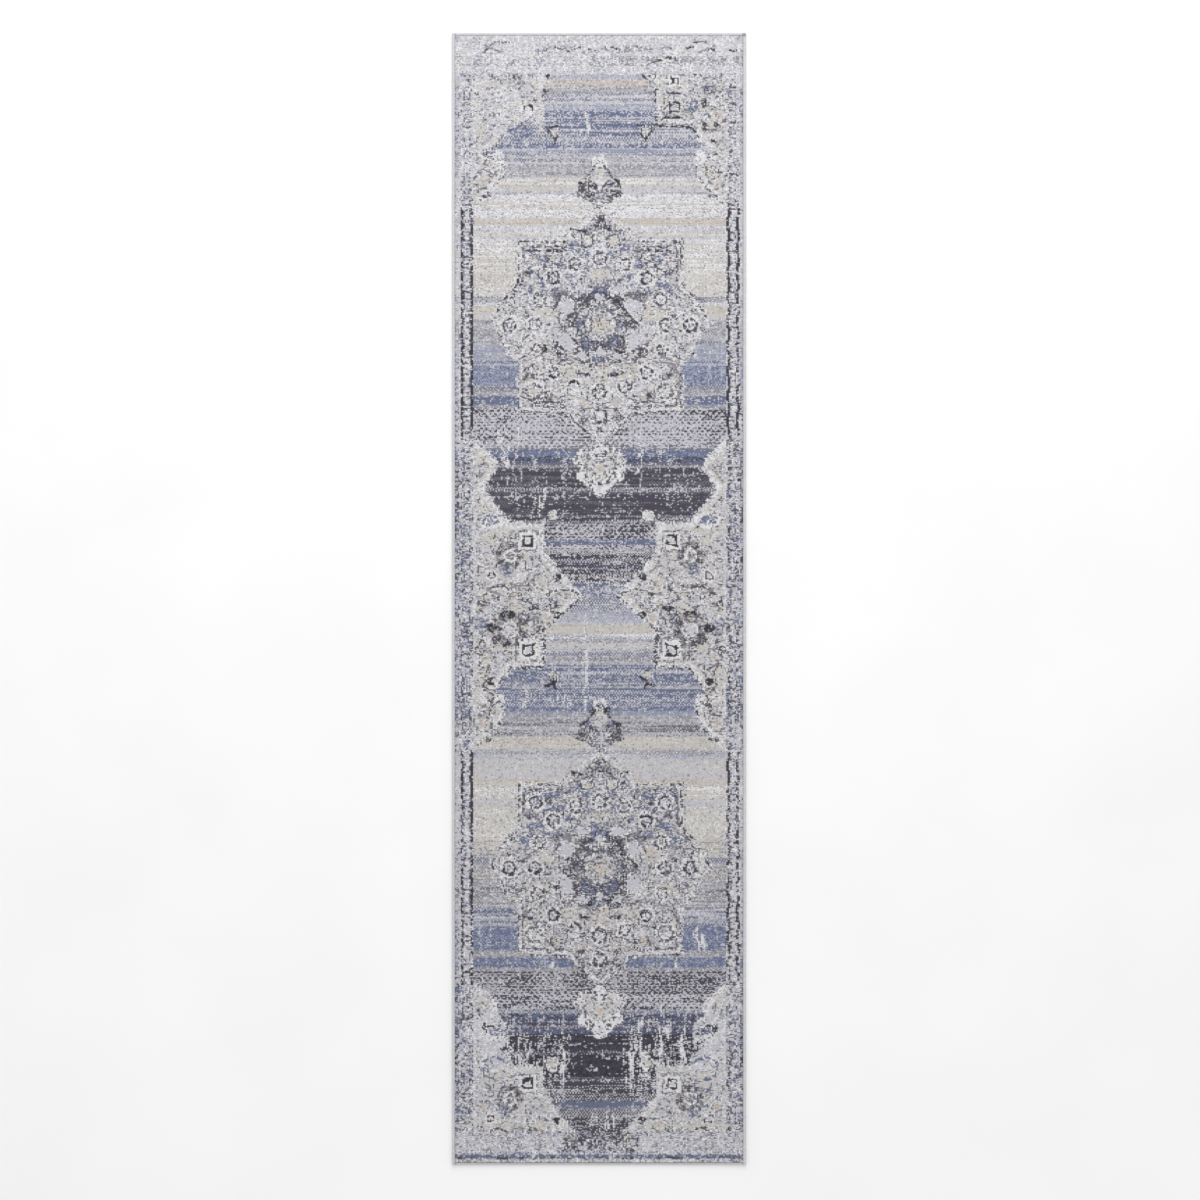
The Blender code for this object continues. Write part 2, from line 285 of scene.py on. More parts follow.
# Flowers and blobs, as layers from the halo inwards: inner and outer reach as shares of the
# size, yarn, cover, and number of petals (0 for a plain ring, 1 for a ring open on one side)
BLOOMS = {
    "rosette": ((0, 1.4, IVORY, 0.5, 0), (0.6, 1.0, CHARCOAL, 0.8, 7), (0.7, 1.0, INK, 0.4, 0),
                (0, 0.34, STONE, 0.5, 0)),
    "ring": ((0, 1.45, IVORY, 0.55, 0), (0.58, 1.0, CHARCOAL, 0.8, 6), (0.66, 1.0, INK, 0.6, 0),
             (0.1, 0.4, SLATE, 0.45, 0)),
    "petals": ((0, 1.3, IVORY, 0.6, 0), (0.68, 1.0, CHARCOAL, 0.8, 8), (0.74, 1.0, SMOKE, 0.5, 0),
               (0, 0.36, SAND, 0.8, 0), (0.3, 0.5, STONE, 0.6, 6)),
    "faint": ((0, 1.2, PEARL, 0.6, 0), (0.7, 1.02, SMOKE, 0.7, 6), (0, 0.4, SAND, 0.6, 0)),
    "arch": ((0, 1.3, IVORY, 0.6, 0), (0.62, 1.0, INK, 0.85, 1), (0, 0.3, SILVER, 0.8, 0)),
    "full": ((0, 1.15, SAND, 0.35, 0), (0, 1.0, STONE, 0.4, 0), (0.45, 1.0, CHARCOAL, 0.62, 8),
             (0.3, 0.5, IVORY, 0.7, 0), (0, 0.3, SMOKE, 0.6, 5)),
    "dots": ((0.78, 1.05, CHARCOAL, 0.6, 11), (0, 0.7, SAND, 0.4, 0), (0.2, 0.45, STONE, 0.4, 5)),
    "daisy": ((0, 1.2, CHARCOAL, 0.4, 0), (0, 1.15, SLATE, 0.22, 0), (0, 0.9, IVORY, 0.55, 8),
              (0, 0.8, SAND, 0.5, 0), (0, 0.85, STONE, 0.16, 0), (0.5, 0.64, SMOKE, 0.6, 9),
              (0, 0.26, PEACH, 0.7, 0)),
    "worn": ((0, 1, IVORY, 0.5, 0), (0, 1, PEARL, 0.5, 0)),
    "warm": ((0, 1.1, IVORY, 0.4, 0), (0, 0.8, SAND, 0.5, 0), (0.74, 1.04, SMOKE, 0.8, 6),
             (0, 0.4, PEACH, 0.7, 0), (0, 0.8, STONE, 0.14, 0)),
    "ink": ((0, 1, INK, 0.8, 0),),
    "dark": ((0, 1.1, CHARCOAL, 0.55, 0),),
    "grey": ((0, 1, SMOKE, 0.5, 0),),
    "blue": ((0, 1, SLATE, 0.8, 0), (0, 1, IVORY, 0.1, 0)),
    "haze": ((0, 1.1, SLATE, 0.5, 0),),
    "plate": ((0, 1.2, IVORY, 0.4, 0), (0, 0.9, PEARL, 0.85, 0)),
    "ivory": ((0, 1, IVORY, 0.75, 0),),
    "sand": ((0, 1, SAND, 0.5, 0),),
    "peach": ((0, 1, PEACH, 0.6, 0),),
    "leaf": ((0, 1.15, IVORY, 0.5, 0), (0, 0.8, SAND, 0.6, 0), (0.8, 1.05, CHARCOAL, 0.75, 0),
             (0, 0.6, STONE, 0.2, 0)),
    "box": ((0, 1.6, IVORY, 0.9, 0), (0.6, 1.02, INK, 1.0, 0), (0, 0.35, PEARL, 1.0, 0)),
    "frame": ((0.92, 1.05, SMOKE, 0.6, 0),),
}
SQUARE = ("box", "frame")

# Motifs as (bloom, where, u, v, size, then perhaps its height as a share and its turn). Where
# names the sides L and R, the repeats 1 and 2, and the stretches T above the first
# medallion, M between the two and B below the second. None named means all of them.
MEDALLION = (
    ("sand", "", 130, -45, 30, 0.5), ("sand", "", 60, -95, 26, 0.7), ("sand", "", 0, -110, 20),
    ("sand", "", 110, 20, 24, 0.6), ("sand", "", 150, -120, 16), ("sand", "", 0, 100, 26, 0.6),
    ("blue", "2", 115, 147, 36, 0.18), ("blue", "2", 93, 120, 27, 0.16, -8),
    ("blue", "R2", 149, 136, 16, 0.25, 90), ("blue", "2", 65, 101, 7, 0.6, -40),
    ("blue", "2", 133, 86, 17, 0.42), ("haze", "2", 104, 71, 9, 0.6), ("haze", "2", 156, 52, 12),
    ("dark", "2", 172, 40, 9, 0.8), ("blue", "L2", 53, 157, 11, 0.5),
    ("blue", "2", 28, 151, 12, 0.5), ("blue", "2", 14, 88, 8), ("haze", "2", 28, 120, 7),
    ("haze", "1", 80, 121, 10, 0.7), ("haze", "1", 115, 131, 11, 0.7),
    ("haze", "1", 48, 156, 12, 0.6), ("haze", "1", 25, 191, 8), ("haze", "1", 25, 146, 10, 0.6),
    ("blue", "1", 120, 86, 9, 0.7), ("blue", "R1", 134, 80, 13, 0.4), ("haze", "1", 62, 100, 7),
    ("blue", "1", 28, -101, 6), ("haze", "1", 14, 88, 7), ("plate", "", 68, 37, 15, 1.1),
    ("plate", "", 69, -34, 16, 1.3, 10), ("plate", "", 36, 74, 14, 0.6),
    ("plate", "", 36, -63, 14, 0.6), ("ring", "", 95, 97, 14), ("rosette", "", 124, 52, 14),
    ("ring", "2", 133, 1, 14), ("rosette", "1", 133, 1, 14), ("ring", "", 185, 0, 15),
    ("rosette", "", 127, -52, 13), ("ring", "", 94, -97, 13), ("arch", "L", 50, -124, 13),
    ("rosette", "R", 50, -126, 13), ("rosette", "", 0, -138, 16), ("petals", "", 134, -135, 18),
    ("rosette", "", 0, 137, 15), ("rosette", "", 50, 124, 13), ("ring", "2", 132, 135, 14),
    ("faint", "", 88, -13, 13), ("faint", "", 152, 98, 12), ("faint", "", 172, 44, 11),
    ("rosette", "", 0, -187, 15), ("dark", "", 62, 1, 15, 0.5), ("dark", "", 34, -37, 19, 0.9),
    ("haze", "", 30, -34, 9), ("ink", "R", 42, -54, 13, 0.32), ("haze", "", 8, -69, 10, 0.5),
    ("ink", "", 15, 59, 8), ("dark", "", 33, 52, 8), ("dark", "", 44, 8, 12),
    ("ink", "L", 88, -40, 5), ("dark", "2", 20, 35, 9), ("dark", "1", 0, 63, 14, 0.5),
    ("dark", "1", 32, 46, 9, 0.8, 60), ("dark", "", 0, -48, 13, 0.7),
    ("dark", "1", 82, -54, 15, 0.8), ("dark", "1", 82, 57, 12, 0.7), ("grey", "", 68, 61, 11),
    ("grey", "", 62, -72, 11, 0.8), ("ink", "L", 113, -49, 6, 1.3), ("dark", "", 140, -103, 6),
    ("dark", "", 98, -148, 7), ("ink", "", 30, -101, 13, 0.36), ("dark", "", 45, -98, 5),
    ("dark", "", 35, -171, 9, 0.7), ("dark", "", 10, -196, 7), ("ring", "", 78, -166, 6),
    ("ring", "", 101, -168, 6), ("dark", "", 38, -200, 6), ("peach", "R", 10, -91, 10),
    ("peach", "", 88, -150, 8), ("peach", "R", 103, 34, 8, 1.2), ("dark", "", 145, 106, 7),
    ("dark", "", 104, 137, 7), ("dark", "", 42, 90, 5), ("dark", "", 40, 138, 4),
    ("leaf", "", 26, 171, 13), ("dark", "", 0, 202, 14, 0.5), ("dark", "", 2, 216, 9),
    ("grey", "", 48, 190, 10, 0.7), ("peach", "", 35, -158, 7), ("warm", "", 0, -91, 9),
    ("leaf", "1", 95, 140, 11, 0.5, -50), ("dark", "1", 105, -142, 8), ("dark", "1", 145, -104, 8),
)
HEART = (
    ("dark", "", 0, 62, 20, 0.8), ("dark", "", 34, 48, 14), ("haze", "", 0, 66, 16, 0.7),
    ("plate", "", 0, 58, 9), ("haze", "", 45, 0, 6), ("daisy", "", 0, 0, 36),
    ("dark", "", 0, -44, 24, 0.5), ("haze", "", 22, -46, 10, 0.7), ("plate", "", 0, -56, 8),
    ("grey", "", 0, 0, 3),
)
SPANDREL = (
    ("dark", "", 184, -470, 25), ("full", "", 184, -470, 29), ("box", "", 147, -440, 11),
    ("frame", "", 147, -440, 20), ("ivory", "", 220, -399, 25, 0.7),
    ("haze", "", 220, -399, 16, 0.6), ("box", "", 222, -511, 7), ("ink", "", 87, -514, 8),
    ("leaf", "", 76, -552, 32, 0.42), ("grey", "", 74, -552, 12, 0.5),
    ("ink", "", 168, -555, 14, 0.36), ("peach", "", 168, -547, 11, 0.5),
    ("leaf", "", 206, -544, 22, 0.55), ("warm", "", 122, -524, 17), ("haze", "", 192, -500, 12),
    ("faint", "", 238, -452, 15), ("sand", "", 230, -430, 14), ("faint", "", 130, -480, 13),
    ("warm", "", 240, -486, 12), ("dark", "M", 184, 486, 34), ("full", "M", 184, 486, 35),
    ("ivory", "M", 184, 486, 12), ("faint", "M", 184, 486, 12), ("ink", "M", 222, 490, 12, 0.8),
    ("ink", "M", 188, 518, 15, 0.5), ("dark", "M", 152, 510, 13), ("dark", "M", 207, 466, 11),
    ("box", "M", 147, 445, 12), ("frame", "M", 147, 445, 25), ("warm", "M", 108, 512, 17),
    ("ink", "M", 87, 515, 8), ("dark", "M", 124, 486, 10), ("ink", "M", 137, 530, 12, 0.4),
    ("warm", "M", 232, 428, 17), ("dark", "M", 246, 444, 9), ("faint", "M", 205, 428, 13),
    ("ink", "M", 224, 382, 9), ("leaf", "M", 222, 352, 17, 0.7, 40), ("warm", "", 240, 296, 19),
    ("ivory", "", 206, 342, 13), ("leaf", "R", 232, 306, 14, 0.6), ("dark", "", 232, 264, 9, 0.5),
    ("dots", "", 226, 326, 13), ("dark", "M", 240, 540, 13, 0.5), ("haze", "M", 246, 500, 12),
    ("sand", "", 246, 400, 13), ("dark", "M", 118, 470, 7), ("box", "RT", 152, 499, 7),
    ("ring", "RT", 107, 506, 6), ("ink", "RT", 91, 519, 5), ("ink", "RT", 195, 519, 5, 1.7),
    ("haze", "RT", 222, 480, 13), ("dark", "RT", 222, 478, 9), ("haze", "RT", 188, 450, 12),
    ("ink", "RT", 212, 455, 6, 1.6), ("warm", "RT", 242, 430, 21), ("ink", "RT", 238, 408, 8, 0.5),
    ("ink", "RT", 213, 404, 5, 1.8), ("ink", "RT", 230, 376, 6, 0.5),
    ("faint", "RT", 258, 386, 10), ("ink", "RT", 284, 478, 6, 1.4), ("arch", "LT", 147, 440, 12),
    ("ink", "LT", 150, 536, 4, 2.4), ("dark", "LT", 174, 534, 7, 0.5), ("dark", "LT", 172, 508, 6),
    ("ink", "LT", 107, 507, 5), ("faint", "LT", 150, 478, 15), ("dark", "LT", 112, 474, 6, 1.4),
    ("dark", "LT", 158, 406, 9, 0.6), ("haze", "LT", 165, 388, 17),
    ("worn", "B", 228, -338, 40, 1.1), ("worn", "B", 206, -392, 22), ("arch", "B", 222, -334, 13),
    ("haze", "B", 214, -334, 9), ("ink", "B", 236, -326, 5, 1.6), ("haze", "LT", 140, 394, 9),
    ("sand", "LT", 120, 396, 8), ("dark", "LT", 196, 408, 6, 0.6),
)
PENDANTS = (
    ("worn", "", 0, 262, 30, 0.7), ("ivory", "", 0, 330, 15, 1.2), ("dark", "", 24, 276, 20, 0.9),
    ("haze", "", 26, 296, 9, 0.6), ("dark", "", 36, 268, 12, 0.7), ("grey", "", 12, 256, 12, 0.9),
    ("sand", "", 0, 306, 14, 1.2), ("worn", "", 0, 300, 12, 1.2), ("warm", "", 0, 312, 10, 1.2),
    ("faint", "", 0, 266, 13, 0.8), ("haze", "", 0, 268, 9, 0.7), ("dark", "", 0, 243, 7, 0.9),
    ("blue", "2", 32, 292, 8, 0.6, -20), ("ink", "2", 14, 322, 7), ("ink", "", 38, 290, 7, 0.7),
    ("ivory", "", 0, -252, 12), ("ivory", "", 26, -272, 27, 0.8), ("ivory", "", 0, -300, 42, 0.9),
    ("ivory", "", 0, -335, 15, 0.9), ("ivory", "", 38, -308, 10), ("dots", "", 27, -270, 23, 0.8),
    ("dots", "", 0, -294, 34), ("faint", "", 20, -285, 12), ("warm", "", 0, -292, 15),
    ("peach", "", 0, -291, 9), ("plate", "", 0, -330, 8, 0.8),
)
BUDS = (
    ("leaf", "T", 94, 393, 12), ("leaf", "M", 95, 393, 11), ("ivory", "1", 98, -388, 12),
    ("warm", "1", 98, -386, 9), ("ivory", "2", 98, -400, 15), ("warm", "2", 98, -398, 11),
)

# Broken lines as (where, yarn, width, cover, then the points of its path)
LINES = (
    ("R", INK, 3.6, 0.85, (81, 0), (58, 22), (42, 38), (30, 62)),
    ("L", CHARCOAL, 3.4, 0.6, (81, 0), (58, 22), (42, 38), (30, 62)),
    ("", INK, 3.6, 0.5, (81, 0), (60, -22), (42, -44), (16, -74)),
    ("", CHARCOAL, 3.2, 0.6, (95, 30), (85, 48), (96, 66)),
    ("", INK, 3.6, 0.6, (0, 206), (28, 190), (60, 196)),
    ("", CHARCOAL, 3.2, 0.6, (8, 184), (30, 186), (46, 172), (58, 184)),
    ("", INK, 4.0, 0.55, (72, 170), (165, 170), (167, 84), (196, 52), (222, 6)),
    ("", INK, 3.4, 0.5, (78, 160), (156, 160), (157, 90), (184, 54)),
    ("", INK, 3.6, 0.4, (222, 6), (202, -22), (190, -58), (165, -76), (165, -168)),
    ("", CHARCOAL, 3.4, 0.55, (157, -84), (157, -164), (70, -168)),
    ("", INK, 3.6, 0.5, (160, -176), (62, -180), (50, -200), (24, -218)),
    ("1", INK, 3.6, 0.7, (78, 152), (152, 152)),
    ("1", CHARCOAL, 3.4, 0.8, (70, -157), (130, -158), (160, -146)),
    ("R", SMOKE, 3.2, 1.0, (150, 172), (158, 150), (160, 90)),
    ("R", STONE, 3.2, 1.1, (112, -76), (150, -78), (162, -100), (160, -160)),
    ("", STONE, 3.2, 0.9, (166, -70), (150, -74), (118, -60), (104, -50)),
    ("", INK, 3.6, 0.55, (0, -128), (14, -134), (8, -146)),
    ("", INK, 4.2, 0.75, (3, 336), (13, 318), (24, 302), (40, 290)),
    ("", CHARCOAL, 3.6, 0.35, (40, 290), (46, 268), (24, 256), (6, 240)),
    ("RT", INK, 4.2, 0.95, (142, 455), (142, 436), (162, 435), (162, 454), (150, 455)),
    ("RT", INK, 3.2, 0.8, (149, 449), (149, 443), (156, 443)),
    ("M", CHARCOAL, 4.4, 0.7, (232, 402), (238, 372), (216, 350), (228, 322)),
    ("M", CHARCOAL, 4.0, 0.6, (206, 340), (220, 330), (232, 306)),
    ("M", INK, 4.0, 0.6, (180, 440), (196, 452), (186, 470)),
    ("", CHARCOAL, 3.6, 0.7, (186, -532), (216, -530), (236, -552)),
    ("", STONE, 3.6, 0.9, (232, -538), (196, -556)),
    ("RT", INK, 4.6, 0.95, (113, 406), (184, 405), (196, 394)),
    ("RT", INK, 4.0, 0.6, (114, 486), (114, 408)),
    ("RT", CHARCOAL, 3.6, 0.95, (132, 474), (164, 472)),
    ("RT", INK, 4.4, 0.95, (125, 418), (128, 423), (168, 423)),
    ("RT", INK, 3.6, 0.6, (130, 462), (132, 436)), ("RT", SMOKE, 3.2, 0.6, (170, 462), (171, 430)),
    ("RT", INK, 4.0, 0.8, (110, 536), (142, 546), (152, 544), (160, 532)),
    ("RT", SMOKE, 3.2, 0.9, (208, 398), (240, 398)),
    ("T", INK, 4.0, 0.85, (107, 398), (92, 380), (82, 392)),
    ("T", INK, 3.6, 0.7, (92, 380), (94, 364)), ("T", INK, 3.6, 0.5, (78, 408), (110, 402)),
    ("M", INK, 4.4, 0.85, (82, 392), (96, 376), (110, 372)),
    ("M", INK, 4.0, 0.8, (96, 392), (92, 366)),
    ("B", SLATE, 4.0, 0.75, (188, -398), (214, -384), (240, -396), (236, -424), (214, -432)),
    ("B", SLATE, 4.0, 0.7, (196, -436), (190, -466), (214, -486), (238, -470)),
    ("B", SLATE, 3.6, 0.7, (228, -440), (220, -458), (200, -452)),
    ("L1", SLATE, 3.6, 0.6, (200, -390), (232, -388), (240, -404), (216, -410)),
)

# Where the stripes are worn pale in vertical drips: x, y, half-width, half-height, cover
DRIPS = (
    (-25, 1000, 9, 40, 0.3), (-30, 960, 26, 14, 0.4), (-40, 840, 7, 90, 0.25),
    (-150, -960, 26, 60, 0.5), (-76, -940, 8, 60, 0.4), (76, -930, 24, 80, 0.5),
    (130, -900, 18, 70, 0.45), (170, -920, 10, 60, 0.5), (-180, -900, 12, 60, 0.4),
    (84, 285, 8, 60, 0.32), (40, 270, 30, 16, 0.3), (-60, 300, 20, 40, 0.2),
    (205, -692, 16, 26, 0.45), (162, -742, 8, 16, 0.5), (-90, -745, 12, 14, 0.3),
    (-28, -120, 6, 120, 0.4), (-70, -200, 30, 24, 0.3), (-150, -205, 16, 30, 0.3),
    (-120, 200, 40, 50, 0.15), (150, 215, 40, 24, 0.1), (170, 300, 20, 30, 0.15),
    (-190, 290, 30, 22, 0.4), (-200, 330, 8, 30, 0.35), (-165, 345, 6, 36, 0.4),
    (110, -1000, 30, 60, 0.4), (-100, -1040, 20, 40, 0.3), (20, -1070, 40, 20, 0.3),
)


def smooth_noise(shape, cell, rng):
    """Random lattice numbers, cell tufts apart, eased between along both axes."""
    rows = np.arange(shape[0]) / cell[0]
    columns = np.arange(shape[1]) / cell[1]
    lattice = rng.random((int(rows[-1]) + 2, int(columns[-1]) + 2))
    up, across = np.meshgrid(rows, columns, indexing="ij")
    return sampled(lattice, across, up)


def sampled(lattice, across, up):
    """A small lattice read between its points at fractional indices, with a cubic ease."""
    c0 = np.clip(across.astype(int), 0, lattice.shape[1] - 2)
    r0 = np.clip(up.astype(int), 0, lattice.shape[0] - 2)
    fc, fr = across - c0, up - r0
    fc, fr = fc * fc * (3 - 2 * fc), fr * fr * (3 - 2 * fr)
    low = lattice[r0, c0] * (1 - fc) + lattice[r0, c0 + 1] * fc
    high = lattice[r0 + 1, c0] * (1 - fc) + lattice[r0 + 1, c0 + 1] * fc
    return low * (1 - fr) + high * fr


def ranked(values):
    """The values replaced by their rank from 0 to 1, so that a threshold picks an exact share."""
    order = values.ravel().argsort().argsort()
    return (order / values.size).reshape(values.shape)


class PointPaper:
    """The yarn number of every tuft, painted layer over layer, with the wear left out."""

    def __init__(self, width, length, reed_pitch, shot_pitch, seed):
        self.columns = int(round(width / reed_pitch))
        self.rows = int(round(length / shot_pitch))
        self.shape = (self.rows, self.columns)
        across = (np.arange(self.columns) + 0.5) / self.columns - 0.5
        up = (np.arange(self.rows) + 0.5) / self.rows - 0.5
        self.x, self.y = np.meshgrid(across * width, up * length)
        self.col, self.row = np.meshgrid(np.arange(self.columns), np.arange(self.rows))
        self.u = np.abs(self.x - PATTERN_SHIFT)
        self.v = (self.y - MEDALLION_Y + REPEAT / 2) % REPEAT - REPEAT / 2
        self.yarn = np.full(self.shape, IVORY, dtype=np.int8)
        self.fresh = np.ones(self.shape)
        self.rng = rng = np.random.default_rng(seed)
        tuft = rng.random(self.shape)
        self.grain = {
            "tuft": ranked(tuft),
            "dash": ranked(smooth_noise(self.shape, (1.7, 1.05), rng) + 0.5 * tuft),
            "worn": ranked(smooth_noise(self.shape, (6, 4), rng)),
            "patch": ranked(smooth_noise(self.shape, (26, 16), rng)),
            "drip": ranked(smooth_noise(self.shape, (8, 1.2), rng) + 0.5 * tuft),
            "line": ranked(smooth_noise(self.shape, (1.3, 40), rng)),
        }
        self.wobble = WOBBLE * (smooth_noise(self.shape, (4.3, 3), rng) - 0.5)
        self.painted = 0

    def wear(self, grain):
        """One of the wear fields, shifted a new way each time it is asked for."""
        self.painted += 1
        shift = (self.painted * 97 % self.rows, self.painted * 41 % self.columns)
        return np.roll(self.grain[grain], shift, (0, 1))

    def lay(self, strength, yarn, cover=1.0, grain="dash"):
        """Change tufts to a yarn where cover times strength beats the wear.

        Where it only just does, what shows is the yarn's worn or half-worn shade instead.
        """
        left = cover * strength * self.fresh - self.wear(grain)
        for level, shown in zip(FADE_LEVELS, FADES[yarn]):
            self.yarn[left > level] = shown

    def shown(self, where):
        """The tufts on the sides, in the repeats and in the stretches that the letters name."""
        tests = {
            "L": self.x < PATTERN_SHIFT, "R": self.x > PATTERN_SHIFT,
            "1": self.y > 5, "2": self.y < 5, "T": self.y > MEDALLION_Y,
            "M": np.abs(self.y) < MEDALLION_Y, "B": self.y < MEDALLION_Y - REPEAT,
        }
        keep = np.ones(self.shape, bool)
        for letter in where:
            keep &= tests[letter]
        return keep

    def inside(self, outline):
        """Even-odd test against a half-outline that is closed along the middle line."""
        points = [(0, outline[0][1]), *outline, (0, outline[-1][1])]
        found = np.zeros(self.shape, bool)
        for (u0, v0), (u1, v1) in zip(points, points[1:] + points[:1]):
            if v0 == v1:
                continue
            crosses = (v0 > self.v) != (v1 > self.v)
            found ^= crosses & (self.u < (u1 - u0) * (self.v - v0) / (v1 - v0) + u0)
        return found

    def distance(self, path):
        """Distance to the nearest of the straight pieces of a path of (u, v) points."""
        nearest = np.full(self.shape, np.inf)
        for (u0, v0), (u1, v1) in zip(path, path[1:]):
            du, dv = u1 - u0, v1 - v0
            along = ((self.u - u0) * du + (self.v - v0) * dv) / (du * du + dv * dv + 1e-9)
            along = np.clip(along, 0, 1)
            gap = np.hypot(self.u - u0 - along * du, self.v - v0 - along * dv)
            nearest = np.minimum(nearest, gap)
        return np.abs(nearest + 0.6 * self.wobble)

    def folded_noise(self, cell):
        """Smooth noise that is mirrored about the middle and repeats with the medallions."""
        lattice = self.rng.random((int(REPEAT / cell) + 3, int(self.u.max() / cell) + 3))
        return sampled(lattice, self.u / cell, (self.v + REPEAT / 2) / cell)

    def scrolls(self, region, cell, width, yarn, cover):
        """Fine curling linework: the level lines of a folded noise, broken by the wear."""
        noise = self.folded_noise(cell)
        self.lay(region & (np.abs(noise - 0.5) < width), yarn, cover)

    def blooms(self, motifs):
        """Paint a table of motifs, each from its halo inwards.

        The reach is the distance from the motif's middle in units of its half sizes, and the
        larger of the two sides' for a square one. Each layer fades over SOFT millimetres at
        both of its edges, and a petalled layer swells with the cosine of the angle.
        """
        for name, where, u, v, size, *shape in motifs:
            share, turn = (*shape, *(1.0, 0.0)[len(shape) :])
            c, s = math.cos(math.radians(turn)), math.sin(math.radians(turn))
            du, dv = self.u - u, self.v - v
            across, up = (du * c + dv * s) / size, (dv * c - du * s) / (size * share)
            reach = np.hypot(across, up)
            if name in SQUARE:
                reach = np.maximum(np.abs(across), np.abs(up))
            reach = reach + self.wobble / (size * math.sqrt(share))
            angle = np.arctan2(up, across)
            seen = self.shown(where)
            soft = SOFT / (size * math.sqrt(share))
            for inner, outer, yarn, cover, petals in BLOOMS[name]:
                layer = np.clip((outer - reach) / soft + 0.5, 0, 1) * seen
                if inner:
                    layer = layer * np.clip((reach - inner) / soft + 0.5, 0, 1)
                if petals:
                    layer = layer * np.clip(0.7 + 0.6 * np.sin(petals * angle), 0, 1)
                self.lay(layer, yarn, cover)

    def lines(self, table):
        """Paint a table of broken lines, each fading over SOFT millimetres at its edges."""
        for where, yarn, width, cover, *path in table:
            line = np.clip((width / 2 - self.distance(path)) / SOFT + 0.5, 0, 1)
            self.lay(line * self.shown(where), yarn, cover)


def paint_stripes(paper):
    """The abrash: horizontal stripes, each a mix of two yarns in its own proportion.

    Every tuft gets a score from a rule and from the wear, and the highest take the second
    yarn, as many as its share says. The rule is a dither of single columns for a dash, the
    noise of whole rows for a row, stepped pairs of tufts for a twill, and little for a fleck.
    A stripe's edge strays by about half a row.
    """
    dither = (paper.col + paper.row // 2) % 2
    stepped = ((paper.col + 2 * (paper.row // 3)) % 4 < 2) & (paper.row % 3 > 0)
    line, tuft = paper.wear("line"), paper.wear("tuft")
    scores = {
        "dash": 0.55 * dither + 0.4 * line + 0.35 * tuft,
        "row": 0.25 * dither + 0.65 * line + 0.3 * tuft,
        "twill": 0.36 * stepped + 0.4 * line + 0.25 * paper.wear("patch") + 0.6 * tuft,
        "fleck": 0.2 * dither + 0.15 * line + 0.5 * tuft + 0.3 * paper.wear("dash"),
    }
    down = paper.y.max() - paper.y + 1.0 + (paper.wear("dash") - 0.5) * 2.4
    top = 0
    for height, first, second, share, way in STRIPES:
        stripe = (down >= top) & (down < top + height)
        top += height
        if stripe.any():
            level = np.quantile(scores[way][stripe], 1 - share)
            paper.yarn[stripe] = first
            paper.yarn[stripe & (scores[way] > level)] = second


def paint_stripe_wear(paper):
    """Pale flecks and short drips along the warp in the dark stripes, and mid-tones in all."""
    dark = np.isin(paper.yarn, (SLATE, CHARCOAL, INK, SKY, SMOKE))
    paper.lay(dark, IVORY, 0.028)
    paper.lay(dark & (paper.wear("patch") > 0.7), IVORY, 0.06, "drip")
    paper.lay(dark & (paper.wear("worn") > 0.93), PEARL, 0.3)
    paper.lay(dark & (paper.wear("line") > 0.94), SILVER, 0.4)
    lower = np.clip((-700 - paper.y) / 200, 0, 1)
    for x, y, half, tall, cover in DRIPS:
        near = np.clip(1.3 - np.hypot((paper.x - x) / half, (paper.y - y) / tall), 0, 1)
        paper.lay(near, IVORY, cover, "drip")
    paper.lay(dark * lower * (np.abs(paper.x) > 60), PEARL, 0.14, "drip")
    paper.lay(~dark, STONE, 0.1, "tuft")
    paper.lay(~dark, SMOKE, 0.035, "tuft")
    paper.lay(~dark, IVORY, 0.1, "tuft")
    grey = np.isin(paper.yarn, (SILVER, STONE))
    paper.lay(grey, SMOKE, 0.13, "tuft")
    paper.lay(grey, IVORY, 0.1, "tuft")


def paint_grounds(paper, field):
    """The pale grounds: the spandrels', warm or cool as the stripes beside, and the medallions'.

    Towards the top of the rug they are worn smooth, with little of the darker yarns left.
    """
    warm = np.isin(paper.yarn, (SAND, PEACH))
    cool = np.isin(paper.yarn, (SLATE, SKY, CHARCOAL))
    outside = ~field
    smooth = 1 - 0.7 * np.clip((paper.y - 800) / 120, 0, 1)
    for ground in (outside, paper.inside(MEDALLION_OUTLINE)):
        paper.lay(ground * 2.0, PEARL)
        paper.lay(ground * smooth, SILVER, 0.42, "tuft")
        paper.lay(ground * (smooth > 0.99), IVORY, 0.6)
        paper.lay(ground * (smooth <= 0.99), IVORY, 0.5, "tuft")
        paper.lay(ground & (paper.wear("worn") > 0.4), SAND, 0.36)
        paper.lay(ground * smooth, STONE, 0.1)
        paper.lay(ground * smooth, SMOKE, 0.05, "tuft")
    paper.lay(outside & warm, SAND, 0.3)
    paper.lay(outside & cool, SKY, 0.12)
    return outside


